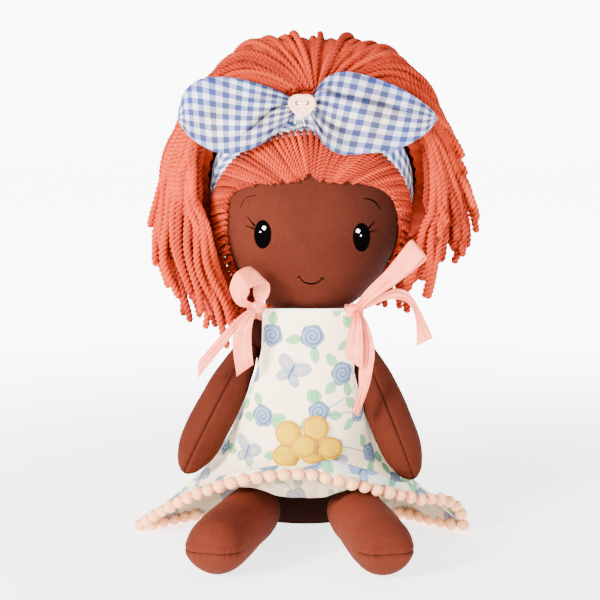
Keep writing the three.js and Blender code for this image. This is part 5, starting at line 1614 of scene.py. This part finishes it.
# The tails: the node that each stands for, its side, and where its lower end lies from the shoulder.
TAILS = {
    "left_tail_long": ("left_tie_tail_1", "left", [-14, -20, -22]),
    "left_tail_short": ("left_tie_tail_2", "left", [-10, -22, -26]),
    "right_tail_arc": ("right_tie_tail_1", "right", [16, -20, -8]),
    "right_tail_long": ("right_tie_tail_2", "right", [10, -22, -30]),
}


def build_ribbons():
    """The tie at each shoulder: its knot, loops and tails, and the strap over the shoulder."""
    for side, pixel in KNOTS.items():
        knot(f"{side}_tie_knot", pixel, f"{side}_shoulder_tie")
    for name, edges in RIBBONS.items():
        ribbon(name, *edges)
    for side, own in SIDES.items():
        x = own["sign"]
        path = [at(*KNOTS[side]), (x * 27.5, -14.0, 129.5), (x * 27.5, TORSO_Y - 2, 117.5),
                (x * 21.5, BACK_NECK + 0.8, BACK_TOP + 2.5)]
        strap(f"{side}_strap", smooth_path(path, 60))


def strap(name, path):
    """A ribbon laid along the path from a knot over the shoulder to the back neckline."""
    path, run = resample(path, 1.0)
    ahead = unit(np.gradient(path, axis=0))
    side = unit(np.cross(ahead, [0, 0, 1]))
    share = np.linspace(-1, 1, 9)[:, None]
    face = np.cross(side, ahead)
    grid = path[:, None] + side[:, None] * (share * 5.2) + face[:, None] * (0.4 * np.cos(share * 8))
    satin_sheet(name, grid, run)


# ---------------------------------------------------------------- scene


def build_stage():
    n = Nodes("floor")
    place = n.object()
    color = n.ramp(n.noise(place, 6.0), [(0.3, (0.93, 0.93, 0.93, 1)), (0.7, (0.95, 0.95, 0.95, 1))])
    # The floor glows a little away from the doll, as a lit studio sweep does.
    away = n.add("ShaderNodeVectorMath", {0: place}, operation="LENGTH").outputs["Value"]
    from_to = {0: away, 1: 0.14, 2: 0.7, 3: 2.6, 4: 8.0}
    glow = n.add("ShaderNodeMapRange", from_to, interpolation_type="SMOOTHSTEP").outputs[0]
    n.finish(color, None, 0.9, Specular_IOR_Level=0.05, Emission_Color=(1, 1, 1, 1), Emission_Strength=glow)
    # It is round and level, and far out it sweeps up on every side.
    level, sweep, around = 3000, 900, 64
    a = np.radians([15, 30, 45, 60])
    size = np.concatenate([[level / 2, level], level + sweep * np.sin(a)])
    up = np.concatenate([[0, 0], sweep - sweep * np.cos(a)])
    turn_to = full_turn(around)
    rings = points_of(size[:, None] * np.cos(turn_to), size[:, None] * np.sin(turn_to), up[:, None])
    points = np.concatenate([np.zeros((1, 3)), rings.reshape(-1, 3)])
    make("floor", points, disc(len(size), around), n.material)
    world = bpy.data.worlds.new("studio")
    world.use_nodes = True
    background = world.node_tree.nodes["Background"].inputs
    background["Color"].default_value = (0.97, 0.98, 1.0, 1)
    background["Strength"].default_value = 0.9
    bpy.context.scene.world = world
    add_area("key", (-1.35, -1.4, 0.75), (0, 0, 0.14), 0.6, 155, (1.0, 0.97, 0.93))
    add_area("fill", (1.4, -1.3, 0.8), (0, 0, 0.13), 1.2, 5, (0.85, 0.9, 1.0))
    add_area("rim", (0.6, 1.1, 1.2), (0, 0, 0.2), 0.8, 12, (1, 1, 1))


add_camera()
build_stage()
build_body()
build_head()
build_face()
build_hair()
build_fringe()
build_headband()
build_bow()
build_poms("poms_front", True, "pom_trim_front")
build_poms("poms_back", False, "pom_trim_back")
dress_panel("dress_front_cloth", True, 300, 430, "dress_front_panel", 4)
dress_panel("dress_back_cloth", False, 240, 330, "dress_back_panel", 9)
build_facing()
build_edges()
build_flower()
build_ribbons()
